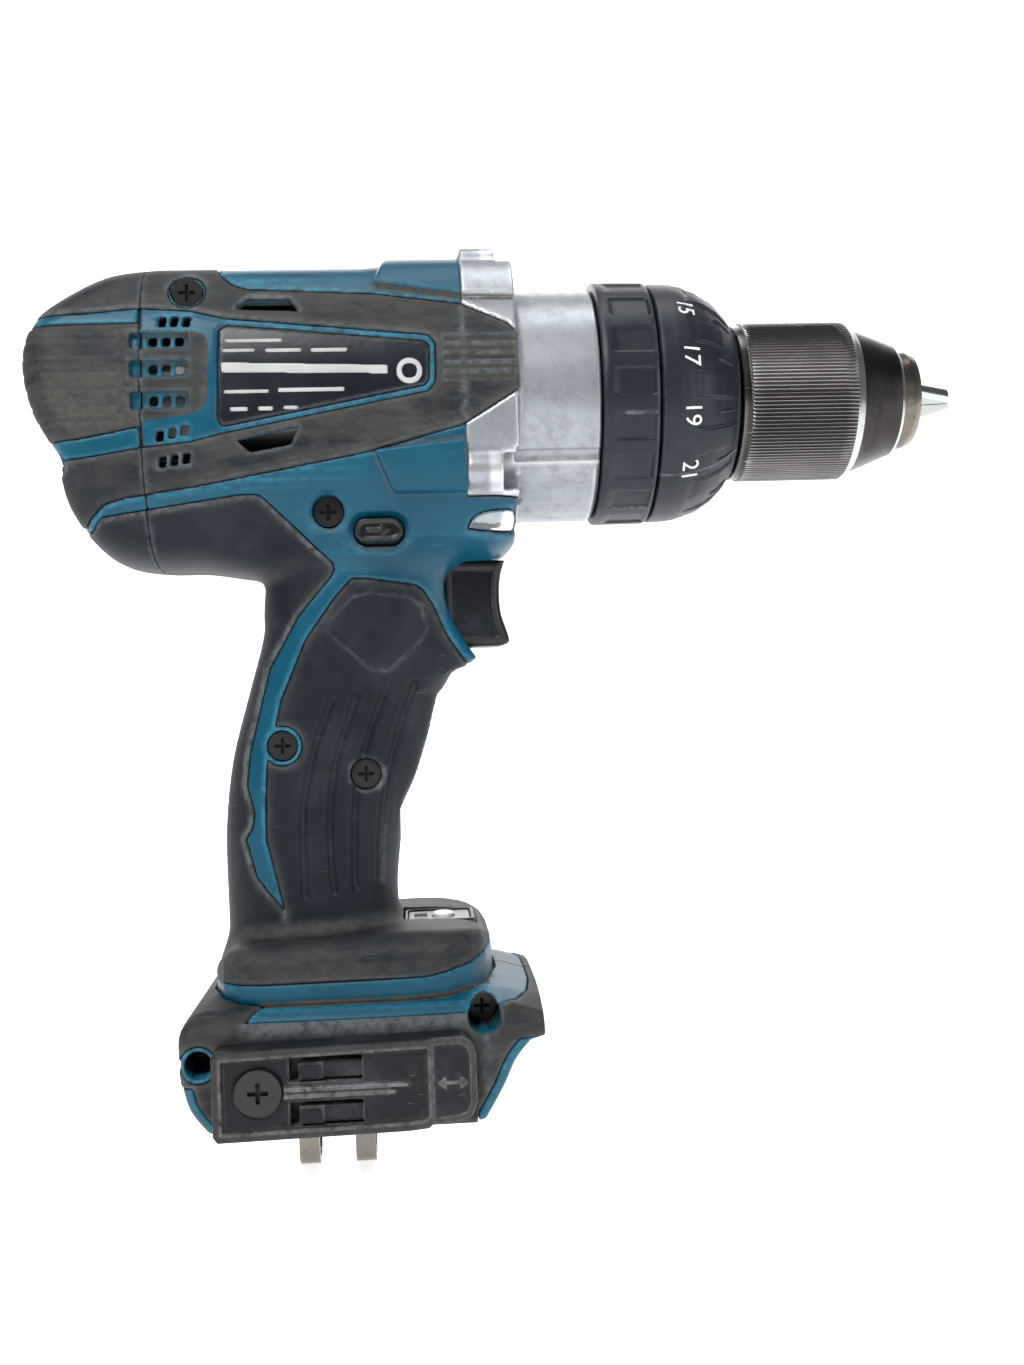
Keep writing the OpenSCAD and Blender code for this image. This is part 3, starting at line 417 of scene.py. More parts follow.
def smooth(points, steps=3):
    """A spline through the points, with its ends kept."""
    out = []
    for i in range(len(points) - 1):
        a = points[max(i - 1, 0)]
        b, c = points[i], points[i + 1]
        d = points[min(i + 2, len(points) - 1)]
        for k in range(steps):
            t = k / steps
            out.append(tuple(0.5 * (2 * b[j] + (c[j] - a[j]) * t
                + (2 * a[j] - 5 * b[j] + 4 * c[j] - d[j]) * t * t
                + (3 * b[j] - a[j] - 3 * c[j] + d[j]) * t ** 3) for j in (0, 1)))
    out.append(points[-1])
    return out


# ---------------------------------------------------------------- outlines of the body, [x, z]
REAR = smooth([(-196, 36.2), (-207, 33.6), (-216, 27), (-224.6, 18.5), (-227.2, 8), (-225, -4),
    (-220, -14), (-217.5, -27), (-210, -38.5), (-199.5, -42.2), (-188, -42.8), (-178, -46)], 4)
BARREL = ([(-90, 37.4), (-121, 37.6), (-142, 37.4), (-146, 36.4)] + REAR
    + [(-160, -49), (-126, -49), (-121, -43), (-114, -42.5), (-109, -37), (-108.4, -32),
    (-108.6, -27.6), (-90, -27.4)])
BODY_FRONT = -121.3
HUMP = [(-142.6, 26.4), (-138.6, 40), (-90, 44), (-90, 22), (-121, 22.6)]
HANDLE = (smooth([(-170, -20), (-173.2, -50), (-173.7, -59), (-178, -74), (-182.5, -90),
    (-184.8, -107), (-185, -123), (-184.5, -152)], 4)
    + smooth([(-140.5, -152), (-141.8, -130), (-141.6, -120), (-139.4, -107), (-134.6, -96),
    (-131.2, -85.5), (-128.8, -76), (-126.4, -69.6), (-121.5, -67.4)], 4)
    + smooth([(-119.6, -66), (-122.3, -62), (-125.6, -56), (-127.3, -50), (-127, -42)], 3)
    + [(-124, -20)])
PLATFORM = smooth([(-118.2, -150), (-118, -141), (-119, -136.4), (-122, -134), (-128, -132.9),
    (-140, -132.6), (-160, -134), (-178, -134.8), (-183, -136.6), (-186.3, -140.4), (-186.8, -144),
    (-186.8, -150)], 3)
FOOT = (smooth([(-187.4, -176.5), (-191.5, -171), (-193.3, -164), (-193.6, -157), (-193, -152.4),
    (-189.4, -147.4), (-185, -143.4), (-182, -141)], 3)
    + smooth([(-122, -139.4), (-112, -139.2), (-107, -141.2), (-104.4, -144.6), (-103.7, -150),
    (-104.2, -155), (-106, -157)], 3) + smooth([(-110.4, -158.2), (-114.2, -162.6), (-117.3, -169),
    (-121.8, -176.5)], 3) + [(-121.8, -190), (-187.4, -190)])


def half_width(g, points):
    z = [p[1] for p in points]
    w = [p[0] for p in points]
    return np.interp(g.z, z, w).astype(np.float32)


def barrel(g):
    u, v = g.ay / 31, np.where(g.z > -3, (g.z + 3) / 39.8, (-3 - g.z) / 42)
    f = (u ** 2.4 + v ** 2.4) ** (1 / 2.4) + 1e-6
    slope = np.hypot((u / f) ** 1.4 / 31, (v / f) ** 1.4 / 41) + 1e-6
    section = ((f - 1) / slope).astype(np.float32)
    d = both(poly(g, BARREL), section, 7)
    hump = both(poly(g, HUMP), meet(d - 2.2, g.z - 38.5), 1.2)
    return melt(d, hump, 0.8)


def body_fields(g):
    """The whole outer form, and its platform and lower foot on their own."""
    top = barrel(g)
    grip_w = half_width(g, [(16.4, -140), (16.6, -112), (17.4, -84), (18.2, -60), (17.6, -40)])
    # The trigger guard keeps its full width right up to its front edge
    grip_r = np.where(g.z > -75, 4.5 + 10 * np.clip((-127 - g.x) / 9, 0, 1), 14.5)
    grip_r = np.where(g.z < -69, meet(grip_r, 4.5 + 10 * np.clip((-69 - g.z) / 6, 0, 1)),
        grip_r).astype(np.float32)
    grip = both(poly(g, HANDLE), g.ay - grip_w, grip_r)
    d = melt(top, grip, 5)
    # Seen from above the platform has round ends, and the foot is crowned beside it
    wide = half_width(g, [(31.6, -150), (31.4, -143), (31.2, -138), (30, -132)])
    ends = np.interp(g.x, [-187, -184, -180, -174, -140, -130, -124, -120, -117.5],
        [20, 26, 29.5, 31.6, 31.6, 30, 26, 20, 11]).astype(np.float32)
    plat = both(poly(g, PLATFORM), g.ay - join(wide, ends), 4.5)
    crown = (np.interp(g.ay, [0, 15, 25, 33, 37], [-144.8, -145.2, -146.4, -148.6, -151.5])
        + np.interp(g.x, [-125, -115, -104], [0, -1.2, -4.5])).astype(np.float32)
    low = both(poly(g, FOOT), g.ay - 37, 2.8)
    low = both(low, (g.z - crown) * 0.93, 2.0)
    low = meet(low, -176.4 - g.z)
    low = cut(low, meet(plat - 0.8, -0.9 - low))
    foot = join(low, plat)
    d = np.where(g.z > -128, melt(d, plat, 5), join(melt(grip, plat, 5), foot))
    return d.astype(np.float32), plat, low


def bay(g):
    wide = meet(span(g.x, -184.5, -80), g.ay - 30.5, span(g.z, -172.5, -158.5))
    slot = meet(span(g.x, -184.5, -80), g.ay - 26.5, g.z + 171.5)
    return join(wide, slot)


# Areas of the side, [x, z]
BAND = [(-240, 46), (-182.6, 46), (-182.2, 36), (-180.2, 30), (-176.8, 26.6), (-173, 25.2),
    (-142.3, 23.5), (-121.8, 20.5), (-110.6, 15.3), (-107.6, 12.6), (-107.8, -1.2), (-122.1, -9.9),
    (-143.6, -15.6), (-169, -20.1), (-185.5, -22.9), (-203.6, -25.4), (-208.3, -26.7),
    (-214, -31.4), (-240, -34)]
BARE_BAND = [(-199.4, 20.2), (-187, 19.4), (-178.4, 17.2), (-129.8, 12.3), (-128, 10.2),
    (-128.2, 0.9), (-129.9, -1.5), (-179.7, -10.8), (-187, -12.6), (-199.4, -13.8)]
CAP_STRIPS = [[(-240, 15.8), (-199, 16.4), (-199, 20.2), (-212, 19), (-240, 18)],
    [(-240, -12), (-214, -11.6), (-199, -8.9), (-199, -13.8), (-213, -16), (-240, -16.4)], ]
VENT_PANEL = [(-205, 15.3), (-186.4, 14.5), (-183.4, 13.8), (-182, 11.8), (-182.4, -3.2),
    (-184, -5.4), (-187, -6.6), (-205, -9)]
PLATE = [(-180.6, -7.7), (-180, 14.2), (-178.2, 15.6), (-130.6, 10.9), (-129.3, 9.6),
    (-129.6, 1.2), (-130.8, -0.2), (-179.4, -9.3)]
REAR_PANEL = [(-240, -36), (-212.3, -32.4), (-209.6, -29.6), (-176.4, -25.2), (-172.2, -25.2),
    (-170.8, -25.9), (-154.9, -41.4), (-154.5, -43), (-155.6, -45), (-163.8, -54.4),
    (-171.6, -67.2), (-175.4, -81.6), (-177.2, -88.2), (-178.2, -96.4), (-177.4, -99.4),
    (-176.4, -103.1), (-177, -107), (-178.9, -109.8), (-176.3, -119.4), (-169.6, -127.9),
    (-169.6, -146), (-240, -146)]
GRIP_PANEL = [(-154.7, -49.8), (-150.6, -45.3), (-146.9, -45.3), (-134.6, -47.2), (-132.6, -48.6),
    (-130.3, -52.4), (-127.1, -60.1), (-122.4, -67.2), (-112, -73), (-112, -146), (-169.7, -146),
    (-169.7, -127.9), (-171.6, -119), (-173.7, -110), (-173.5, -100), (-172.9, -91), (-170.8, -83),
    (-169, -75.3), (-162.5, -60.6)]
SHOULDER = [(-174, -9), (-174, 31), (-178, 35.6), (-150, 35.8), (-125, 35.4), (-118, 33.5),
            (-113.5, 30), (-110.5, 24), (-109.3, 14), (-109, -9)]   # seen from above, [x, |y|]
PATCH = [(-150.2, -50.3), (-145.7, -49.3), (-136.4, -50.8), (-133.6, -52.6), (-132.3, -58.8),
    (-133.4, -60.8), (-142, -68.4), (-145.6, -68.2), (-156.4, -58.6), (-156.6, -56.6)]
GRIP_LINES = [[(-156.5, -75.7), (-161.4, -88.8), (-164.4, -103.4), (-164.5, -123.9)],
    [(-150, -74.4), (-156.1, -92), (-157.9, -108.9), (-157.3, -123.2)],
    [(-143, -73.2), (-149, -89.2), (-151.5, -103.9), (-152.1, -122.4)],
    [(-135.5, -72.2), (-141.8, -89.5), (-145.1, -106.9), (-146.1, -122.2)], ]
SLOTS = [[(-176, 19.6), (-173, 22.4), (-163, 22.2), (-160.8, 18.9)],
    [(-176.4, -12.5), (-161.4, -9.4), (-163.3, -13.8), (-173, -15.4)], ]
LENS = smooth([(-121.2, -34.2), (-120.4, -32), (-117.6, -30.3), (-113, -29.7), (-109.4, -29.7),
    (-109.2, -33), (-110.4, -34.8), (-115, -35), (-121.2, -34.2)], 2)[:-1]
BOSS = [(-143.4, -15.6), (-139.6, -24.6), (-138.6, -25.8), (-90, -26), (-90, -10)]
WINDOWS_Z = [11.9, 5, -2.6]
VENT_ROWS = [((-193.2, 16.6), (-190.4, 16.6), (-187.5, 16.5)),
    ((-194.3, -11.2), (-191.3, -10.6), (-188.4, -10)),
    ((-193.9, -17.2), (-191.1, -16.8), (-188.3, -16.5))]
SCREWS = [(-187.7, 24.6), (-155.3, -29.4), (-169, -86.6), (-148.4, -94.3), (-189, -160),
    (-121.6, -152)]
SCREW_HEADS_Y = (22, 21, 13, 13, 21, 21)
LEVER = [(-146.1, -34.3), (-140.1, -34.3)]
RIDGES_Z = [12, 9.7, 7.4, 5.1, 2.8, 0.5]


def rubber_area(g, plat, low):
    """Where rubber is moulded over the body, negative inside."""
    band = cut(poly(g, BAND), poly(g, BARE_BAND))
    for strip in CAP_STRIPS:
        band = cut(band, poly(g, strip))
    area = join(band, poly(g, VENT_PANEL))
    area = join(area, join(poly(g, REAR_PANEL), poly(g, GRIP_PANEL)))
    # Teal rings around three of the screws
    for c, r in ((SCREWS[0], 4.4), (SCREWS[2], 4.9)):
        area = cut(area, disc(g, c, r))
    # The platform is rubber above a line, and the lower foot is rubber apart from its shoulder
    edge_z = np.interp(g.x, [-190, -134.6, -124, -118.7, -112],
        [-143.2, -142.9, -140.7, -138, -136]).astype(np.float32)
    on_low = low < plat
    foot_area = poly(g, FOOT)
    lip = np.where((g.z < -157) & (g.x > -124), foot_area + 2.7, -9)
    lip = meet(lip, np.where((g.z < -165) & (g.x < -180), foot_area + 2.7, -9))
    lower = meet(lip, -meet(poly(g, SHOULDER, g.x, g.ay), -153.5 - g.z))
    lower = cut(lower, disc(g, SCREWS[4], 4.4))
    upper = edge_z - g.z
    foot = np.where(on_low & (g.z < -137), lower, meet(upper, -9))
    return np.where(g.z < -131, foot, area).astype(np.float32)


def details(g, d, side, windows=False):
    """Cuts that go through both the rubber and the shell."""
    for s in SLOTS:
        d = cut(d, meet(poly(g, s), 24 - g.ay), 0.3)
    for z in WINDOWS_Z if windows else ():
        window = meet(span(g.x, -202, -187.2), np.abs(g.z - z) - 1.9 + 0.12 * (g.x + 187.2) / 10)
        d = cut(d, both(window, 26 - g.ay, 0.3), 0.3)
    for row in VENT_ROWS:
        for c in row:
            hole = both(np.abs(g.x - c[0] - 0.15 * (g.z - c[1])) - 0.95, np.abs(g.z - c[1]) - 1.3,
                0.35)
            d = cut(d, meet(hole, 20 - g.ay), 0.15)
    stadium = line(g, LEVER)
    d = cut(d, meet(stadium - 3.3, 10 - g.ay), 0.5)
    d = cut(d, meet(poly(g, LENS), 17.5 - g.ay), 0.3)
    if side < 0:
        for i, c in enumerate(SCREWS):
            r = 3.3 if i == 4 else 3.9
            d = cut(d, meet(disc(g, c, r), SCREW_HEADS_Y[i] - g.ay), 0.4)
    else:
        d = cut(d, meet(disc(g, SCREWS[4], 3.4), 30 - g.ay), 0.4)
        d = cut(d, meet(disc(g, SCREWS[5], 3.6), 30 - g.ay), 0.4)
    # Trigger mouth, speed slider slot and the gauge's recess
    d = cut(d, meet(span(g.x, -134, -100), g.ay - 9.5, span(g.z, -63.6, -39.6)), 0.6)
    d = cut(d, meet(span(g.x, -138.6, -121.9), g.ay - 7.4, 30 - g.z), 0.3)
    d = cut(d, meet(span(g.x, -140.4, -121.6), g.ay - 9.4, -139 - g.z), 0.3)
    return d


def surface(g):
    """The outer form with its boss, and where rubber covers it."""
    d, plat, low = body_fields(g)
    boss = both(poly(g, BOSS), d - 2.4, 0.9)
    d = melt(d, np.where(g.z > -60, boss, 9), 0.8)
    return d, rubber_area(g, plat, low)


def mesh_from(g, d):
    band = 4 * g.step
    d = np.clip(d, -band, band)
    for axis in range(3):
        ends = [slice(None)] * 3
        for end in (0, -1):
            ends[axis] = end
            d[tuple(ends)] = meet(d[tuple(ends)], 0.3 * g.step)
    vdb = openvdb.FloatGrid(float(band))
    vdb.copyFromArray(np.ascontiguousarray(d, dtype=np.float32), tolerance=0.0)
    points, triangles, quads = vdb.convertToPolygons(isovalue=0.0, adaptivity=0.0)
    return d, points, triangles, quads


def sample(d, g, p):
    """Field values at points given in grid steps."""
    hi = np.array(g.shape) - 1.001
    p = np.clip(p, 0, hi)
    i = p.astype(np.int32)
    f = (p - i).astype(np.float32)
    out = 0
    for a in (0, 1):
        for b in (0, 1):
            for c in (0, 1):
                w = ((f[:, 0] if a else 1 - f[:, 0]) * (f[:, 1] if b else 1 - f[:, 1])
                    * (f[:, 2] if c else 1 - f[:, 2]))
                out = out + w * d[i[:, 0] + a, i[:, 1] + b, i[:, 2] + c]
    return out


def make(name, g, d, material, mirror=False, crease_from=None, keep=200000, solid=None):
    """Turns a field into a closed mesh with edge and crease masks."""
    clipped, points, triangles, quads = mesh_from(g, d)
    raw = points.astype(np.float64)
    e = 0.7
    n = np.stack([sample(clipped, g, raw + np.eye(3)[k] * e)
        - sample(clipped, g, raw - np.eye(3)[k] * e) for k in range(3)], axis=1)
    n /= np.linalg.norm(n, axis=1, keepdims=True) + 1e-9
    reach = 1.1
    solid = d if solid is None else solid
    here = sample(solid, g, raw)
    inner = sample(solid, g, raw - n * reach / g.step) - here
    outer = sample(solid, g, raw + n * reach / g.step) - here
    edge = np.clip((reach * 0.97 + inner) / reach * 1.6 - 0.12, 0, 1)
    crease = np.clip((reach * 0.97 - outer) / reach * 1.7 - 0.1, 0, 1)
    if crease_from is not None:
        near = sample(crease_from, g, raw)
        crease = meet(crease, near)
    points = (g.low + raw * g.step) * MM
    if mirror:
        points = points * [1, -1, 1]
        n = n * [1, -1, 1]
    faces_q = quads if mirror else quads[:, ::-1]
    faces_t = triangles if mirror else triangles[:, ::-1]
    mesh = bpy.data.meshes.new(name)
    loops = np.concatenate([faces_q.ravel(), faces_t.ravel()]).astype(np.int32)
    sizes = np.concatenate([np.full(len(faces_q), 4), np.full(len(faces_t), 3)])
    starts = np.concatenate([[0], np.cumsum(sizes)[:-1]]).astype(np.int32)
    mesh.vertices.add(len(points))
    mesh.vertices.foreach_set("co", points.astype(np.float32).ravel())
    mesh.loops.add(len(loops))
    mesh.loops.foreach_set("vertex_index", loops)
    mesh.polygons.add(len(starts))
    mesh.polygons.foreach_set("loop_start", starts)
    mesh.update(calc_edges=True)
    mesh.validate()
    for key, values in (("edge", edge), ("crease", crease)):
        if len(mesh.vertices) == len(values):
            a = mesh.attributes.new(key, "FLOAT", "POINT")
            a.data.foreach_set("value", values.astype(np.float32))
    mesh.shade_smooth()
    obj = bpy.data.objects.new(name, mesh)
    bpy.context.collection.objects.link(obj)
    obj.data.materials.append(material)
    if 2 * len(mesh.polygons) > keep:
        m = obj.modifiers.new("thin", "DECIMATE")
        m.ratio = keep / (2.0 * len(mesh.polygons))
        m.use_collapse_triangulate = True
    return obj


def place(o, body, slot, *nodes):
    """Says which body a piece rides and the nodes it stands in for; the slot argument is not used.
    """
    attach(o, body)
    if nodes:
        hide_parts(*nodes)
    return o


# ---------------------------------------------------------------- housing, rubber and plates
# Thickness of the rubber, depth of its bed in the shell, and the shell's wall
SKIN = 1.25
BED = 1.35
WALL = 2.7
BAY_TOP = -155.4   # the ceiling above the battery bay, z
FINE = 0.5


def half_body(side):
    """One shell and its rubber; side is -1 for the right half and 1 for the left."""
    g = Grid((-199.5, -107), (-38.6, 1.2), (-178, 40.4), FINE)
    d, area = surface(g)
    middle = g.y + 0.04
    rubber_d = both(d - 0.28, area + 0.12, 0.5)
    # Grip lines, thumb patch and thumb ridges in the rubber
    groove = None
    for pts in GRIP_LINES:
        near = line(g, smooth(pts, 3))
        groove = near if groove is None else join(groove, near)
    rubber_d = rubber_d + (0.9 * np.exp(-(groove / 0.75) ** 2) - 0.25
        * np.exp(-((groove - 1.9) / 0.8) ** 2)).astype(np.float32)
    rubber_d = cut(rubber_d, meet(poly(g, PATCH), -0.1 - d), 0.35)
    thumb = poly(g, [(-126.3, 13.2), (-100, 11.6), (-100, 0.2), (-126.3, -0.6)])
    for z in RIDGES_Z[:-1]:
        furrow = np.abs(g.z - z + 0.9) - 0.55
        rubber_d = cut(rubber_d, meet(furrow, thumb + 0.6, -0.6 - d), 0.3)
    # Long shallow moulding lines that run along the two arms of the band
    for pts in ([(-176, 25.6), (-173, 24.3), (-142.3, 22.4), (-121.8, 19.4), (-110.5, 14)],
            [(-122.1, -8.6), (-143.6, -14.2), (-169, -18.7), (-187, -21.6)]):
        groove = line(g, pts) - 0.3
        rubber_d = cut(rubber_d, meet(groove, 0.0 - d), 0.2)
    rubber_d = details(g, rubber_d, side, windows=True)
    rubber_d = meet(rubber_d, middle)
    rubber_d = meet(rubber_d, -198.55 - g.x)
    # A fine mark over the front edge of the shell
    rubber_d = meet(rubber_d, -np.abs(g.x - BODY_FRONT))
    bay_d = bay(g)
    rubber_d = cut(rubber_d, bay_d, 0.3)
    rubber_solid = rubber_d
    rubber_d = meet(rubber_d, -(d + SKIN))

    plate2 = poly(g, PLATE)
    plate_solid = meet(both(d + 0.02, plate2 + 0.12, 0.35), middle)
    plate_d = meet(plate_solid, -(d + 1.0))

    bed = meet(area - 0.05, -BED - d)
    house = cut(d, bed, 0.0)
    house = cut(house, meet(plate2 - 0.05, -1.1 - d))
    # A thin raised bead along the bare strip around the plate
    bare = both(d - 0.12, poly(g, BARE_BAND) + 0.8, 0.4)
    house = np.where((g.z > -15) & (g.z < 21) & (plate2 > 0.6), join(house, bare), house)
    for z in WINDOWS_Z:
        floor = meet(span(g.x, -202, -187.2), np.abs(g.z - z) - 1.9, -1.6 - d)
        house = cut(house, floor, 0.15)
        for k in range(3):
            hole = both(np.abs(g.x + 195.6 - 3.1 * k) - 1.0, np.abs(g.z - z) - 1.1, 0.4)
            house = cut(house, meet(hole, 20 - g.ay), 0.15)
    house = details(g, house, side)
    # Countersinks beside the lever, the lens and the bare screw
    for ring, depth in ((line(g, LEVER) - 4.2, 0.5), (poly(g, LENS) - 0.6, 0.45),
            (disc(g, SCREWS[1], 4.7), 0.5)):
        house = cut(house, meet(ring, -depth - d), 0.4)
    house_solid = house
    hollow = meet(d + WALL, BAY_TOP - g.z)
    front = meet(np.hypot(g.y, g.z) - 27.6, -142 - g.x)
    house = cut(house, join(hollow, front))
    posts = None
    for c in SCREWS:
        post = meet(disc(g, c, 3.7 + 0.9), d + 1.5)
        posts = post if posts is None else join(posts, post)
    posts = meet(posts, np.where(g.z < -140, BAY_TOP - g.z, -9))
    house = join(house, details(g, meet(posts, 0.4 - g.ay), side))
    house = cut(house, meet(np.hypot(g.y, g.z) - 30.6, -121.2 - g.x))
    house = cut(house, bay_d, 0.3)
    house = meet(house, middle)
    house = meet(house, -198.45 - g.x)
    house = meet(house, np.where((g.z < -26.5) | (g.x < -121.25), -9,
        g.x + 121.25).astype(np.float32))
    near_edge = np.clip(1 - np.abs(area + 0.9) / 1.6, 0, 1) * (d > -1)
    name = "right" if side < 0 else "left"
    flip = side > 0
    # Near-black teal painted on the walls of the two deep screw tubes in the foot: painted shade for
    # the darkness inside the tubes
    tube_shade = plastic("painted_tube_shade_" + name, srgb(10, 16, 20), srgb(30, 44, 52), DUST, 0.7, wear=0.2,
        dirt=0.2)
    shell = make("housing_shell_" + name, g, house, teal_plastic, flip, keep=190000,
        solid=house_solid)
    skin = make("rubber_skin_" + name, g, rubber_d, overmould_rubber, flip,
        crease_from=near_edge * 0.3, keep=190000, solid=rubber_solid)
    plate = make("name_plate_" + name, g, plate_d, plate_plastic, flip, keep=40000,
        solid=plate_solid)
    shell.data.materials.append(tube_shade)
    # Faces inside the two foot screw tubes get the painted shade material
    for p in shell.data.polygons:
        x, y, z = p.center / MM
        for i in (4, 5):
            if (math.hypot(x - SCREWS[i][0], z - SCREWS[i][1]) < 4.4
                    and abs(y) < (32.5 if i == 4 else 33.5)):
                p.material_index = 1
    place(shell, "housing", "teal_plastic", "housing_" + name)
    place(skin, "housing", "overmould_rubber", "overmould_" + name)
    return place(plate, "housing", "plate_plastic")


right_plate = half_body(-1)
half_body(1)
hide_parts("name_plates")


REAR_SCREWS_Y = (-24.5, 24.5)
REAR_SCREW_Z = -16


def rear_parts():
    """The rear cover and its rubber, across both halves."""
    g = Grid((-229, -197.8), (-31.8, 31.8), (-47, 38), FINE)
    d = barrel(g).astype(np.float32)
    area = poly(g, BAND)
    for strip in CAP_STRIPS:
        area = cut(area, poly(g, strip))
    area = join(area, poly(g, REAR_PANEL))
    edge_x = g.x + 198.6
    rubber_d = both(d - 0.28, area + 0.12, 0.5)
    # Worn horizontal ribs across the middle of the cap
    for z in (12.6, 8.6, 4.6, 0.6, -3.4, -7):
        rib = np.abs(g.z - z) - 0.35
        rubber_d = cut(rubber_d, meet(rib, g.x + 204, 0.02 - d), 0.25)
    house = cut(d, meet(area - 0.05, -BED - d))
    for z in WINDOWS_Z:
        window = meet(span(g.x, -200.9, -190), np.abs(g.z - z) - 2.0, 26 - g.ay)
        rubber_d = cut(rubber_d, window, 0.3)
        house = cut(house, meet(window, -1.6 - d), 0.15)
    for y in REAR_SCREWS_Y:
        hole = meet(np.hypot(g.y - y, g.z - REAR_SCREW_Z) - 3.3, g.x + 214)
        rubber_d = cut(rubber_d, hole, 0.3)
        house = cut(house, hole, 0.3)
    house_solid = house
    house = meet(house, -(d + WALL))
    for y in REAR_SCREWS_Y:
        post = meet(np.hypot(g.y - y, g.z - REAR_SCREW_Z) - 4.5, d + 0.9)
        post = meet(post, -218.6 - g.x)
        post = cut(post, meet(np.hypot(g.y - y, g.z - REAR_SCREW_Z) - 3.3, g.x + 214))
        post = cut(post, np.hypot(g.y - y, g.z - REAR_SCREW_Z) - 1.6)
        house = join(house, post)
    rubber_solid = meet(rubber_d, edge_x)
    rubber_d = meet(rubber_solid, -(d + SKIN))
    house = meet(house, edge_x)
    near_edge = np.clip(1 - np.abs(area + 0.9) / 1.6, 0, 1) * (d > -1)
    cover = make("rear_cover_shell", g, house, teal_plastic, keep=150000, solid=house_solid)
    skin = make("rear_cover_skin", g, rubber_d, overmould_rubber, crease_from=near_edge * 0.3,
        keep=150000, solid=rubber_solid)
    place(cover, "housing", "teal_plastic", "rear_cover")
    place(skin, "housing", "overmould_rubber", "rear_cover_rubber")


rear_parts()


# ---------------------------------------------------------------- gear case
def gear_case():
    g = Grid((-122, -50), (-32.5, 32.5), (-33, 40), FINE)
    r = np.hypot(g.y, g.z)
    shape = barrel(g)
    d2 = meet(span(g.x, -121.2, -108.2), both(shape, -27 - g.z, 1.0))
    ring = both(r - 30.5, span(g.x, -121.2, -108), 0.8)
    flange = join(np.where(g.z > -27, d2, 9), ring)
    # The top bosses end in flat pads ahead of the hump
    collar = both(r - 29.5, span(g.x, -112, -87.6), 0.5)
    case = melt(flange, collar, 1.2)
    ledge = both(both(span(g.x, -108.6, -88.4), r - 30.3, 0.4), g.z + 17.5, 0.4)
    case = join(case, ledge)
    notch = meet(span(g.x, -109, -86), meet(np.abs(g.z + 16.4) - 1.1, 28.7 - r))
    case = cut(case, notch, 0.3)
    # Screw seats at the four bosses
    for y, z in ((-14, 33), (14, 33), (-27, -20.5), (27, -20.5)):
        pad = both(np.hypot(g.y - y, g.z - z) - 4.7, span(g.x, -121.2, -112), 0.8)
        case = melt(case, pad, 1.5)
        seat = meet(np.hypot(g.y - y, g.z - z) - 4.6, -112.2 - g.x)
        case = cut(case, meet(seat, 29.2 - r if z < 0 else 29.6 - r), 0.5)
        case = cut(case, meet(np.hypot(g.y - y, g.z - z) - 2.1, -122 - g.x))
        case = cut(case, meet(np.hypot(g.y - y, g.z - z) - 3.9, -115 - g.x), 0.3)
    # Recess for the tip of the rubber band
    band = poly(g, BAND)
    case = cut(case, meet(band - 0.1, g.x + 107, -BED - shape))
    case = cut(case, meet(g.z + 26.8, 30.55 - r))
    snout = both(r - 15.5, span(g.x, -109, -53), 0.4)
    case = join(case, snout)
    for x, rad in (((-125, -91), 25.6), ((-92, -80), 12.0), ((-81, -63), 10.5),
            ((-63.1, -56), 12.0), ((-57, -50), 9.0)):
        case = cut(case, meet(span(g.x, *x), r - rad))
    for k in range(6):
        a = math.radians(30 + 60 * k)
        hole = np.hypot(g.y + 19.5 * math.sin(a), g.z - 19.5 * math.cos(a)) - 2.15
        case = cut(case, meet(hole, span(g.x, -92, -85)))
    o = make("gear_case_casting", g, case.astype(np.float32), cast_alloy, keep=190000)
    place(o, "housing", "cast_alloy", "gear_case")


gear_case()


# ---------------------------------------------------------------- turned parts in mesh code
def tube_mesh(name, rows, count, material, radius):
    """A ring of revolution round X from [x, r] rows; radius(x, r, angle) may shape it."""
    n = len(rows)
    x = np.array([p[0] for p in rows])[:, None] + np.zeros((1, count))
    r = np.array([p[1] for p in rows])[:, None] + np.zeros((1, count))
    a = (np.arange(count) * 2 * math.pi / count)[None, :] + np.zeros((n, 1))
    r = radius(x, r, a)
    co = np.stack([x, r * np.sin(a), r * np.cos(a)], axis=-1).reshape(-1, 3) * MM
    i = np.arange(n)[:, None]
    j = np.arange(count)[None, :]
    i2 = (i + 1) % n
    j2 = (j + 1) % count
    quads = np.stack([i * count + j, i * count + j2, i2 * count + j2, i2 * count + j],
        axis=-1).reshape(-1, 4)
    mesh = bpy.data.meshes.new(name)
    mesh.from_pydata(co.tolist(), [], quads.tolist())
    mesh.validate()
    o = bpy.data.objects.new(name, mesh)
    bpy.context.collection.objects.link(o)
    mesh.materials.append(material)
    bm = bmesh.new()
    bm.from_mesh(mesh)
    bmesh.ops.recalc_face_normals(bm, faces=bm.faces)
    bm.to_mesh(mesh)
    bm.free()
    mesh.shade_smooth()
    mesh.set_sharp_from_angle(angle=math.radians(34))
    return o


def soft(v, low, high):
    t = np.clip((v - low) / (high - low), 0, 1)
    return t * t * (3 - 2 * t)


def wave(a, count, duty, edge, phase=0.0):
    """1 inside each of count pads round the ring, 0 between, with soft sides."""
    t = ((a * count / (2 * math.pi) + phase) % 1.0) - 0.5
    return 1 - soft(np.abs(t), duty / 2 - edge, duty / 2 + edge)


def fill(rows, step):
    """Adds rows so that no two are further apart than step."""
    out = []
    for i, (x, r) in enumerate(rows):
        nx, nr = rows[(i + 1) % len(rows)]
        count = max(1, int(math.hypot(nx - x, nr - r) / step))
        if r < 19 or nr < 19:
            count = 1
        for k in range(count):
            out.append((x + (nx - x) * k / count, r + (nr - r) * k / count))
    return out


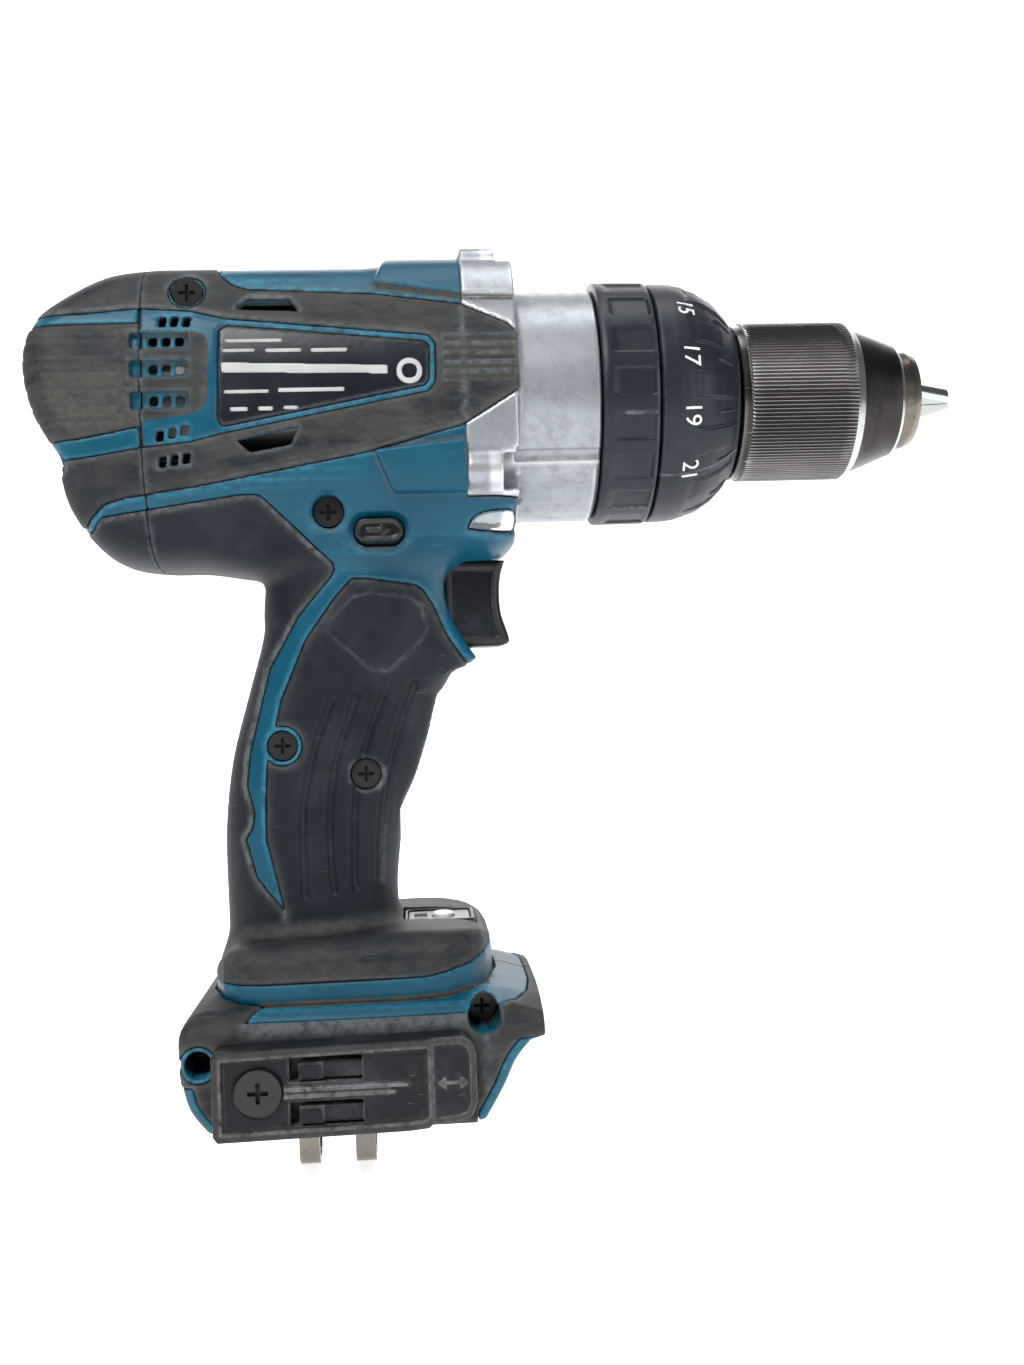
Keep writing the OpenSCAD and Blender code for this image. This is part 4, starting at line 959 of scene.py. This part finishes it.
def mode_ring():
    rows = fill([(-75.7, 15.8), (-75.7, 27), (-87.2, 27), (-87.2, 30.6), (-86.9, 31.2),
        (-86.3, 31.45), (-74.2, 31.35), (-73.5, 31.1), (-73.2, 30.4), (-73.2, 22.6), (-76.2, 22.4),
        (-76.2, 15.8)], 0.7)

    def radius(x, r, a):
        deep = wave(a, 18, 0.62, 0.035) * soft(x, -84.4, -83.9) * (1 - soft(x, -74.6, -74.3))
        return np.where(r > 31.2, r - 0.55 * deep, r)

    o = tube_mesh("mode_ring_moulding", rows, 720, ring_plastic, radius)
    place(o, "mode_ring", "ring_plastic", "mode_ring")


# The face of the torque ring that carries its numbers, [x, r]
DIAL_FACE = [(-72.7, 30.3), (-72.3, 30.9), (-71.6, 31), (-68, 30.9), (-65, 30.5), (-62, 29.6),
    (-59, 28.2), (-56, 26.2), (-53.4, 23.6)]


def torque_ring():
    rows = fill([(-72.7, 28)] + DIAL_FACE + [(-51.4, 21.2), (-50.8, 20.2), (-50.6, 19.4),
        (-50.6, 15.9), (-59, 15.9), (-59, 22), (-64, 22), (-67, 28)], 0.45)

    def radius(x, r, a):
        skin = soft(r, 21.0, 21.8) * (r > 21)
        inner = (x > -66.9) & (r < 22.5) & (x < -58.9)
        pads = wave(a, 13, 0.42, 0.02, 0.801) * soft(x, -63.4, -62.9) * (1 - soft(x, -52.6, -52))
        rails = wave(a, 13, 0.50, 0.01, 0.801) - wave(a, 13, 0.44, 0.01, 0.801)
        ticks = wave(a, 13, 0.04, 0.012, 0.295) * soft(x, -57.4, -57.0)
        ticks = ticks * (1 - soft(x, -52.9, -52.4))
        up = 0.55 * pads * soft(x, -64.5, -60)
        up = up + 0.25 * rails * soft(x, -64.4, -63.6) * (1 - soft(x, -53.4, -52.8)) + 0.5 * ticks
        groove = 0.3 * (np.abs(x + 71.9) < 0.2)
        return np.where(inner | (r < 21), r, r + (up - 0.45 * soft(x, -66, -62)) * skin - groove)

    o = tube_mesh("torque_ring_moulding", rows, 900, ring_plastic, radius)
    place(o, "torque_ring", "ring_plastic", "torque_ring")


def ring_profile(x):
    return float(np.interp(x, *zip(*DIAL_FACE)))


def number(text, angle, x_mid, size, body, profile, name):
    """A printed number on a ring, with its top towards the chuck."""
    curve = bpy.data.curves.new(name, "FONT")
    curve.body = text
    curve.align_x = "CENTER"
    curve.align_y = "CENTER"
    curve.size = size
    curve.extrude = 0.14
    curve.resolution_u = 5
    o = bpy.data.objects.new(name, curve)
    bpy.context.collection.objects.link(o)
    bpy.context.view_layer.update()
    mesh = bpy.data.meshes.new_from_object(o.evaluated_get(bpy.context.evaluated_depsgraph_get()))
    bpy.data.objects.remove(o)
    mesh.name = name
    count = len(mesh.vertices)
    co = np.zeros(count * 3)
    mesh.vertices.foreach_get("co", co)
    co = co.reshape(-1, 3)
    across, up, out = co[:, 0], co[:, 1], co[:, 2]
    x = x_mid + up
    r = np.array([profile(v) for v in x]) + out
    # Read from outside with the top towards the chuck, the text runs clockwise
    a = math.radians(angle) + across / meet(r, 1)
    y = -r * np.cos(a)
    z = -r * np.sin(a)
    mesh.vertices.foreach_set("co", (np.stack([x, y, z], axis=-1) * MM).ravel())
    mesh.update()
    o = bpy.data.objects.new(name, mesh)
    bpy.context.collection.objects.link(o)
    mesh.materials.append(paint_white)
    return place(o, body, "ring_plastic")


def chuck():
    teeth = 132
    rows = [(-50, 18.1), (-50, 20.0), (-49.8, 20.2), (-48.2, 20.2), (-48, 20.25)]
    x = -47.6
    rows += [(-47.8, 20.5)]
    while x < -20.6:
        rows.append((x, 20.7))
        x += 1.5
    rows += [(-20.4, 20.65), (-20.0, 20.35), (-19.2, 19.9), (-18.6, 19.6), (-18.2, 19.3),
        (-17.6, 19.0), (-14, 17.6), (-10, 16.0), (-7.6, 15.0), (-6.9, 14.8), (-6.5, 14.6),
        (-6.1, 14.3), (-6.0, 14.0), (-6.0, 13.4), (-10.6, 13.4), (-13.4, 16.2), (-17, 18.0)]

    def radius(x, r, a):
        t = np.abs(((a * teeth / (2 * math.pi)) % 1.0) - 0.5) * 2
        tooth = np.clip(t * 1.5 - 0.25, 0, 1)
        knurl = soft(x, -48.0, -47.6) * (1 - soft(x, -20.9, -20.3))
        return np.where(r > 20.1, r - 0.42 * tooth * knurl, r)

    o = tube_mesh("chuck_sleeve_knurled", rows, teeth * 8, sleeve_steel, radius)
    place(o, "sleeve", "sleeve_steel", "chuck_sleeve")
    bands = metal("sleeve_band", srgb(60, 57, 56), srgb(34, 32, 31), srgb(130, 128, 126), 0.3,
        brushed=(1, 0.3, 0.3), stain=srgb(70, 64, 58))
    chrome = metal("sleeve_edge", srgb(196, 200, 202), srgb(140, 142, 144), srgb(226, 228, 230),
        0.2, stain=srgb(90, 80, 70))
    o.data.materials.append(bands)
    o.data.materials.append(chrome)
    for p in o.data.polygons:
        cx = p.center[0] / MM
        if cx < -48.05 or cx > -18.3:
            p.material_index = 1
        elif cx > -20.3:
            p.material_index = 2
        if -7.0 < cx < -6.2:
            p.material_index = 2


mode_ring()
torque_ring()
chuck()
for n in range(1, 22, 2):
    number(str(n), -12.6 + 14 * (n - 17), -65.2, 6.0, "torque_ring", ring_profile, "dial_%02d" % n)


# ---------------------------------------------------------------- small fittings
def fitting(name, g, d, finish, body, slot, *nodes, **more):
    return place(make(name, g, d.astype(np.float32), finish, **more), body, slot, *nodes)


def bit_holder():
    g = Grid((-186, -123), (-46, -36.8), (-177, -153), 0.3)
    t = -g.y
    outline = [(-185, -174.6), (-184, -176), (-140, -175.4), (-135.4, -175), (-134.6, -174.2),
        (-128, -173.6), (-125.4, -172.6), (-124.1, -169.6), (-124.1, -158.4), (-125, -155.6),
        (-127.5, -154.1), (-135, -154.2), (-184, -155.1), (-185, -156.4)]
    shape = poly(g, outline)
    d = both(shape, span(t, 37.1, 45.5), 0.9)
    inner = both(shape + 2.3, g.x + 135.4, 0.3)
    floor = both(inner, 44.2 - t, 0.2)
    d = cut(d, floor, 0.35)
    end = both(shape + 1.5, meet(-133.9 - g.x, 45.1 - t), 0.2)
    d = cut(d, end, 0.3)
    solid = d
    # Two open slots with a spring clip in each
    for z in (-160.2, -170.4):
        slot = meet(span(g.x, -167.4, -150.4), np.abs(g.z - z) - 2.9)
        slot = meet(slot, 38.6 - t)
        tongue = both(meet(span(g.x, -165, -147), np.abs(g.z - z + 0.3) - 1.9),
            span(t, 40.4, 43.4), 0.4)
        tongue = join(tongue, both(meet(span(g.x, -165.2, -159.6), np.abs(g.z - z + 0.3) - 2.1),
            span(t, 41, 44.4), 1.1))
        d = join(cut(d, slot, 0.2), tongue)
        channel = meet(span(g.x, -147, -118), np.abs(g.z - z) - 3.2, span(t, 37.9, 43.2))
        d = cut(d, channel, 0.2)
    for k in (-0.75, 0.75):
        rib = both(np.abs(g.z + 165.2 + k) - 0.45, span(g.x, -168.6, -141.5 - 2 * k), 0.3)
        d = join(d, both(rib, span(t, 44, 45.5), 0.3))
    d = join(d, both(both(np.abs(g.z + 165.2) - 1.5, span(g.x, -169, -144), 0.4),
        span(t, 40, 45.0), 0.3))
    arrow = meet(np.abs(g.z + 164.6) - 0.3, span(g.x, -133, -126.2))
    for tip, way in ((-133.2, 1), (-126, -1)):
        head = meet(np.abs(g.z + 164.6) - 0.75 * way * (g.x - tip),
            meet(-way * (g.x - tip), way * (g.x - tip) - 1.9))
        arrow = join(arrow, head)
    d = join(d, both(arrow, span(t, 44.8, 45.5), 0.1))
    seat = both(disc(g, (-174.4, -164.8), 5.75), 43.55 - t, 0.2)
    d = cut(d, seat, 0.3)
    d = cut(d, disc(g, (-174.4, -164.8), 2.15))
    fitting("bit_holder_moulding", g, d, rough_masked, "housing", "black_plastic", "bit_holder",
        keep=120000, solid=join(solid, d).astype(np.float32))


def lever():
    g = Grid((-149, -136.6), (-27.6, 27.6), (-38.6, -31.6), 0.3)
    bar = both(line(g, LEVER) - 2.95, g.ay - 26.9, 0.7)
    dish = both(line(g, LEVER) - 1.9, 26.5 - g.ay, 0.2)
    bar = cut(bar, dish, 0.3)
    arrow = meet(np.abs(g.z + 34.3) - 0.3, span(g.x, -146, -142))
    head = meet(np.abs(g.z + 34.3) - 0.7 * (-140.4 - g.x), span(g.x, -142.6, -140.4))
    bar = join(bar, both(join(arrow, head), span(g.ay, 26, 26.8), 0.1))
    fitting("reversing_lever_bar", g, bar, black_masked, "reversing_lever", "black_plastic",
        "reversing_lever", keep=60000)


def trigger():
    g = Grid((-143.6, -109.8), (-9.6, 9.6), (-64, -39.4), 0.3)
    outline = (smooth([(-111.3, -40.9), (-112.6, -45), (-113, -50), (-112.6, -55), (-110.9, -60.4),
        (-111, -62.3), (-113.4, -63.1)], 3) + [(-128, -63.2), (-128, -40.2)])
    grip = both(poly(g, outline), g.ay - 9, 1.7)
    side = both(poly(g, outline) + 2.6, 8.6 - g.ay, 0.2)
    grip = cut(grip, side, 0.4)
    stem = both(meet(span(g.x, -143, -127), span(g.z, -57, -47)), g.ay - 4.6, 0.4)
    fitting("trigger_grip", g, join(grip, stem), trigger_masked, "trigger", "black_plastic",
        "trigger", keep=90000)


def lenses():
    for sign in (-1, 1):
        g = Grid((-122, -108), (-27.6, -17.6), (-36, -28.6), 0.3)
        d = barrel(g)
        lens = both(poly(g, LENS) + 0.25, meet(d + 0.35, 18.7 - g.ay), 0.5)
        o = fitting("lamp_lens_%s" % ("right" if sign < 0 else "left"), g, lens, lens_clear,
            "housing", "lens_clear", mirror=sign > 0, keep=30000)
        if sign < 0:
            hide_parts("lamp_lenses")
        back = both(poly(g, LENS) + 0.25, span(g.ay, 17.7, 18.5), 0.2)
        fitting("lamp_reflector_%s" % ("right" if sign < 0 else "left"), g, back, reflector,
            "housing", "lens_clear", mirror=sign > 0, keep=20000)


def gauge():
    g = Grid((-141, -121.2), (-9.8, 9.8), (-137.6, -132.2), 0.3)
    rim = both(both(span(g.x, -140.2, -121.9), g.ay - 9.1, 2.0), span(g.z, -137, -132.75), 0.5)
    rim = cut(rim, both(both(span(g.x, -139.2, -122.9), g.ay - 8.1, 1.4), -136.4 - g.z, 0.2), 0.2)
    fitting("gauge_frame", g, rim, black_masked, "housing", "panel_grey", "gauge_panel",
        keep=40000)
    plate = both(both(span(g.x, -139.1, -123), g.ay - 8, 1.3), span(g.z, -136.3, -133.2), 0.3)
    button = np.hypot((g.x + 130) / 2.95, g.y / 4.45) - 1
    plate = cut(plate, button * 2.95)
    window = both(both(span(g.x, -137.6, -134.2), g.ay - 3.4, 0.5), -133.7 - g.z, 0.1)
    border = both(both(span(g.x, -138.1, -133.7), g.ay - 3.9, 0.8), span(g.z, -134, -132.95), 0.15)
    plate = cut(join(plate, border), window, 0.1)
    fitting("gauge_face", g, plate, panel_masked, "housing", "panel_grey", keep=40000)


def slider():
    g = Grid((-138, -128), (-7.4, 7.4), (28.6, 37.6), 0.3)
    knob = both(both(span(g.x, -137.4, -128.6), g.ay - 6.9, 1.2), span(g.z, 34.6, 36.9), 0.5)
    for k in range(-2, 3):
        knob = cut(knob, meet(np.abs(g.x + 133 + 1.6 * k) - 0.4, meet(g.ay - 5, 36.2 - g.z)), 0.3)
    stem = both(meet(span(g.x, -135.4, -130.6), g.ay - 2.4), span(g.z, 29.1, 35), 0.3)
    fitting("speed_slider_knob", g, join(knob, stem), black_masked, "speed_slider",
        "black_plastic", "speed_slider", keep=40000)


def label(sign):
    """The light strip, the round mark and short plain bars on the name plate."""
    g = Grid((-181, -128), (-33, -20), (-9.6, 16), 0.4)
    d = barrel(g)
    marks = poly(g, [(-179.4, 6.2), (-139.4, 5), (-139.4, 2.7), (-179.4, 3.5)])
    ring = np.abs(np.hypot(g.x + 134.4, g.z - 3.4) - 2.5) - 0.75
    marks = join(marks, ring)
    bars = ((11.4, (-178.6, -164.5)), (9, (-179.2, -171)), (8.9, (-169, -160)),
        (8.8, (-158, -149)), (-1, (-179, -168)), (-0.8, (-166, -150)), (-5.2, (-177.6, -173)),
        (-5.1, (-171, -167)), (-5, (-165, -161)))
    for z, (a, b) in bars:
        marks = join(marks, both(np.abs(g.z - z) - 0.55, span(g.x, a, b), 0.3))
    skin = meet(d - 0.14, -0.95 - d)
    fitting("plate_marks_%s" % ("right" if sign < 0 else "left"), g, both(marks, skin, 0.05),
        label_light, "housing", "plate_plastic", mirror=sign > 0, keep=60000)


black_masked = plastic("black_moulding", srgb(9, 10, 13), srgb(60, 64, 72), DUST, 0.32, 0.5, 0.01,
    wear=0.4, dirt=0.2, specular=0.35)
# Strong wear here lightens the edges partly as rubbed wear and partly as a painted highlight along
# the edges
rough_masked = plastic("bit_holder_moulding", srgb(20, 22, 27), srgb(112, 114, 118),
    srgb(66, 64, 62), 0.42, 0.7, 0.09, wear=1.8, specular=0.2)
trigger_masked = plastic("trigger_moulding", srgb(18, 21, 28), srgb(120, 126, 134), DUST, 0.3, 0.5,
    0.01, wear=0.9, dirt=0.4, specular=0.3)
panel_masked = plastic("gauge_panel_face", srgb(98, 96, 92), srgb(178, 176, 170), DUST, 0.34,
    wear=1.0, dirt=0.5)
reflector = metal("lamp_reflector", srgb(190, 194, 196), srgb(70, 72, 74), srgb(235, 236, 238),
    0.2)
bit_holder()
lever()
trigger()
lenses()
gauge()
slider()
label(-1)
label(1)


# ---------------------------------------------------------------- everything else keeps its CAD form
replaced = {"housing_right", "housing_left", "overmould_right", "overmould_left", "rear_cover",
    "rear_cover_rubber", "name_plates", "gear_case", "mode_ring", "torque_ring", "chuck_sleeve",
    "bit_holder", "reversing_lever", "trigger", "lamp_lenses", "gauge_panel", "speed_slider"}
SAME_STEEL = {"armature_steel": "gear_steel"}
slots = {p["node"]: p["material_slot"] for p in frame["record"]["subparts"]}
for node, obj in frame["nodes"].items():
    if node in replaced:
        continue
    finish = finishes[SAME_STEEL.get(slots[node], slots[node])]
    obj.data.materials.clear()
    obj.data.materials.append(finish)
    for p in obj.data.polygons:
        p.material_index = 0


# ---------------------------------------------------------------- floor and light
def stage_floor():
    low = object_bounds()[0][2] - 0.0005
    profile = [(-1.6, 0), (0.9, 0)]
    for k in range(1, 13):
        t = math.radians(90 * k / 12)
        profile.append((0.9 + 0.5 * math.sin(t), 0.5 - 0.5 * math.cos(t)))
    profile.append((1.4, 2.2))
    verts = []
    for x in (-3.2, 3.0):
        verts += [(x, y, z + low) for y, z in profile]
    n = len(profile)
    faces = [(i, i + 1, n + i + 1, n + i) for i in range(n - 1)]
    mesh = bpy.data.meshes.new("backdrop")
    mesh.from_pydata(verts, [], faces)
    mesh.shade_smooth()
    o = bpy.data.objects.new("backdrop", mesh)
    bpy.context.collection.objects.link(o)
    f = Finish("backdrop_paper", rough=0.9, specular=0.1)
    f.base((0.93, 0.93, 0.93))
    f.over((0.9, 0.9, 0.9), f.ramp(f.noise(220, 3, 0.5), 0.3, 0.7))
    f.shader.inputs["Emission Color"].default_value = (1, 1, 1, 1)
    f.shader.inputs["Emission Strength"].default_value = 0.7
    mesh.materials.append(f.done())


def area(name, at, aim, size, power, colour=(1, 1, 1)):
    light = bpy.data.lights.new(name, "AREA")
    light.shape = "RECTANGLE"
    light.size, light.size_y = size
    light.energy = power
    light.color = colour
    o = bpy.data.objects.new(name, light)
    bpy.context.collection.objects.link(o)
    o.location = at
    o.rotation_euler = (Vector(aim) - Vector(at)).to_track_quat("-Z", "Y").to_euler()


stage_floor()
centre = (-0.12, 0, -0.06)
area("key", (-0.5, -0.8, 0.8), centre, (0.5, 0.35), 12.5, (1, 0.99, 0.97))
area("fill", (0.65, -0.75, 0.1), centre, (0.5, 0.7), 3.2, (0.94, 0.97, 1))
area("top", (-0.1, -0.05, 0.9), centre, (0.8, 0.3), 4)
area("back", (-0.1, 0.9, 0.5), centre, (1.2, 0.6), 6)
world = bpy.data.worlds.new("soft_room")
world.use_nodes = True
world.node_tree.nodes["Background"].inputs[0].default_value = (0.93, 0.96, 1, 1)
world.node_tree.nodes["Background"].inputs[1].default_value = 0.17
bpy.context.scene.world = world
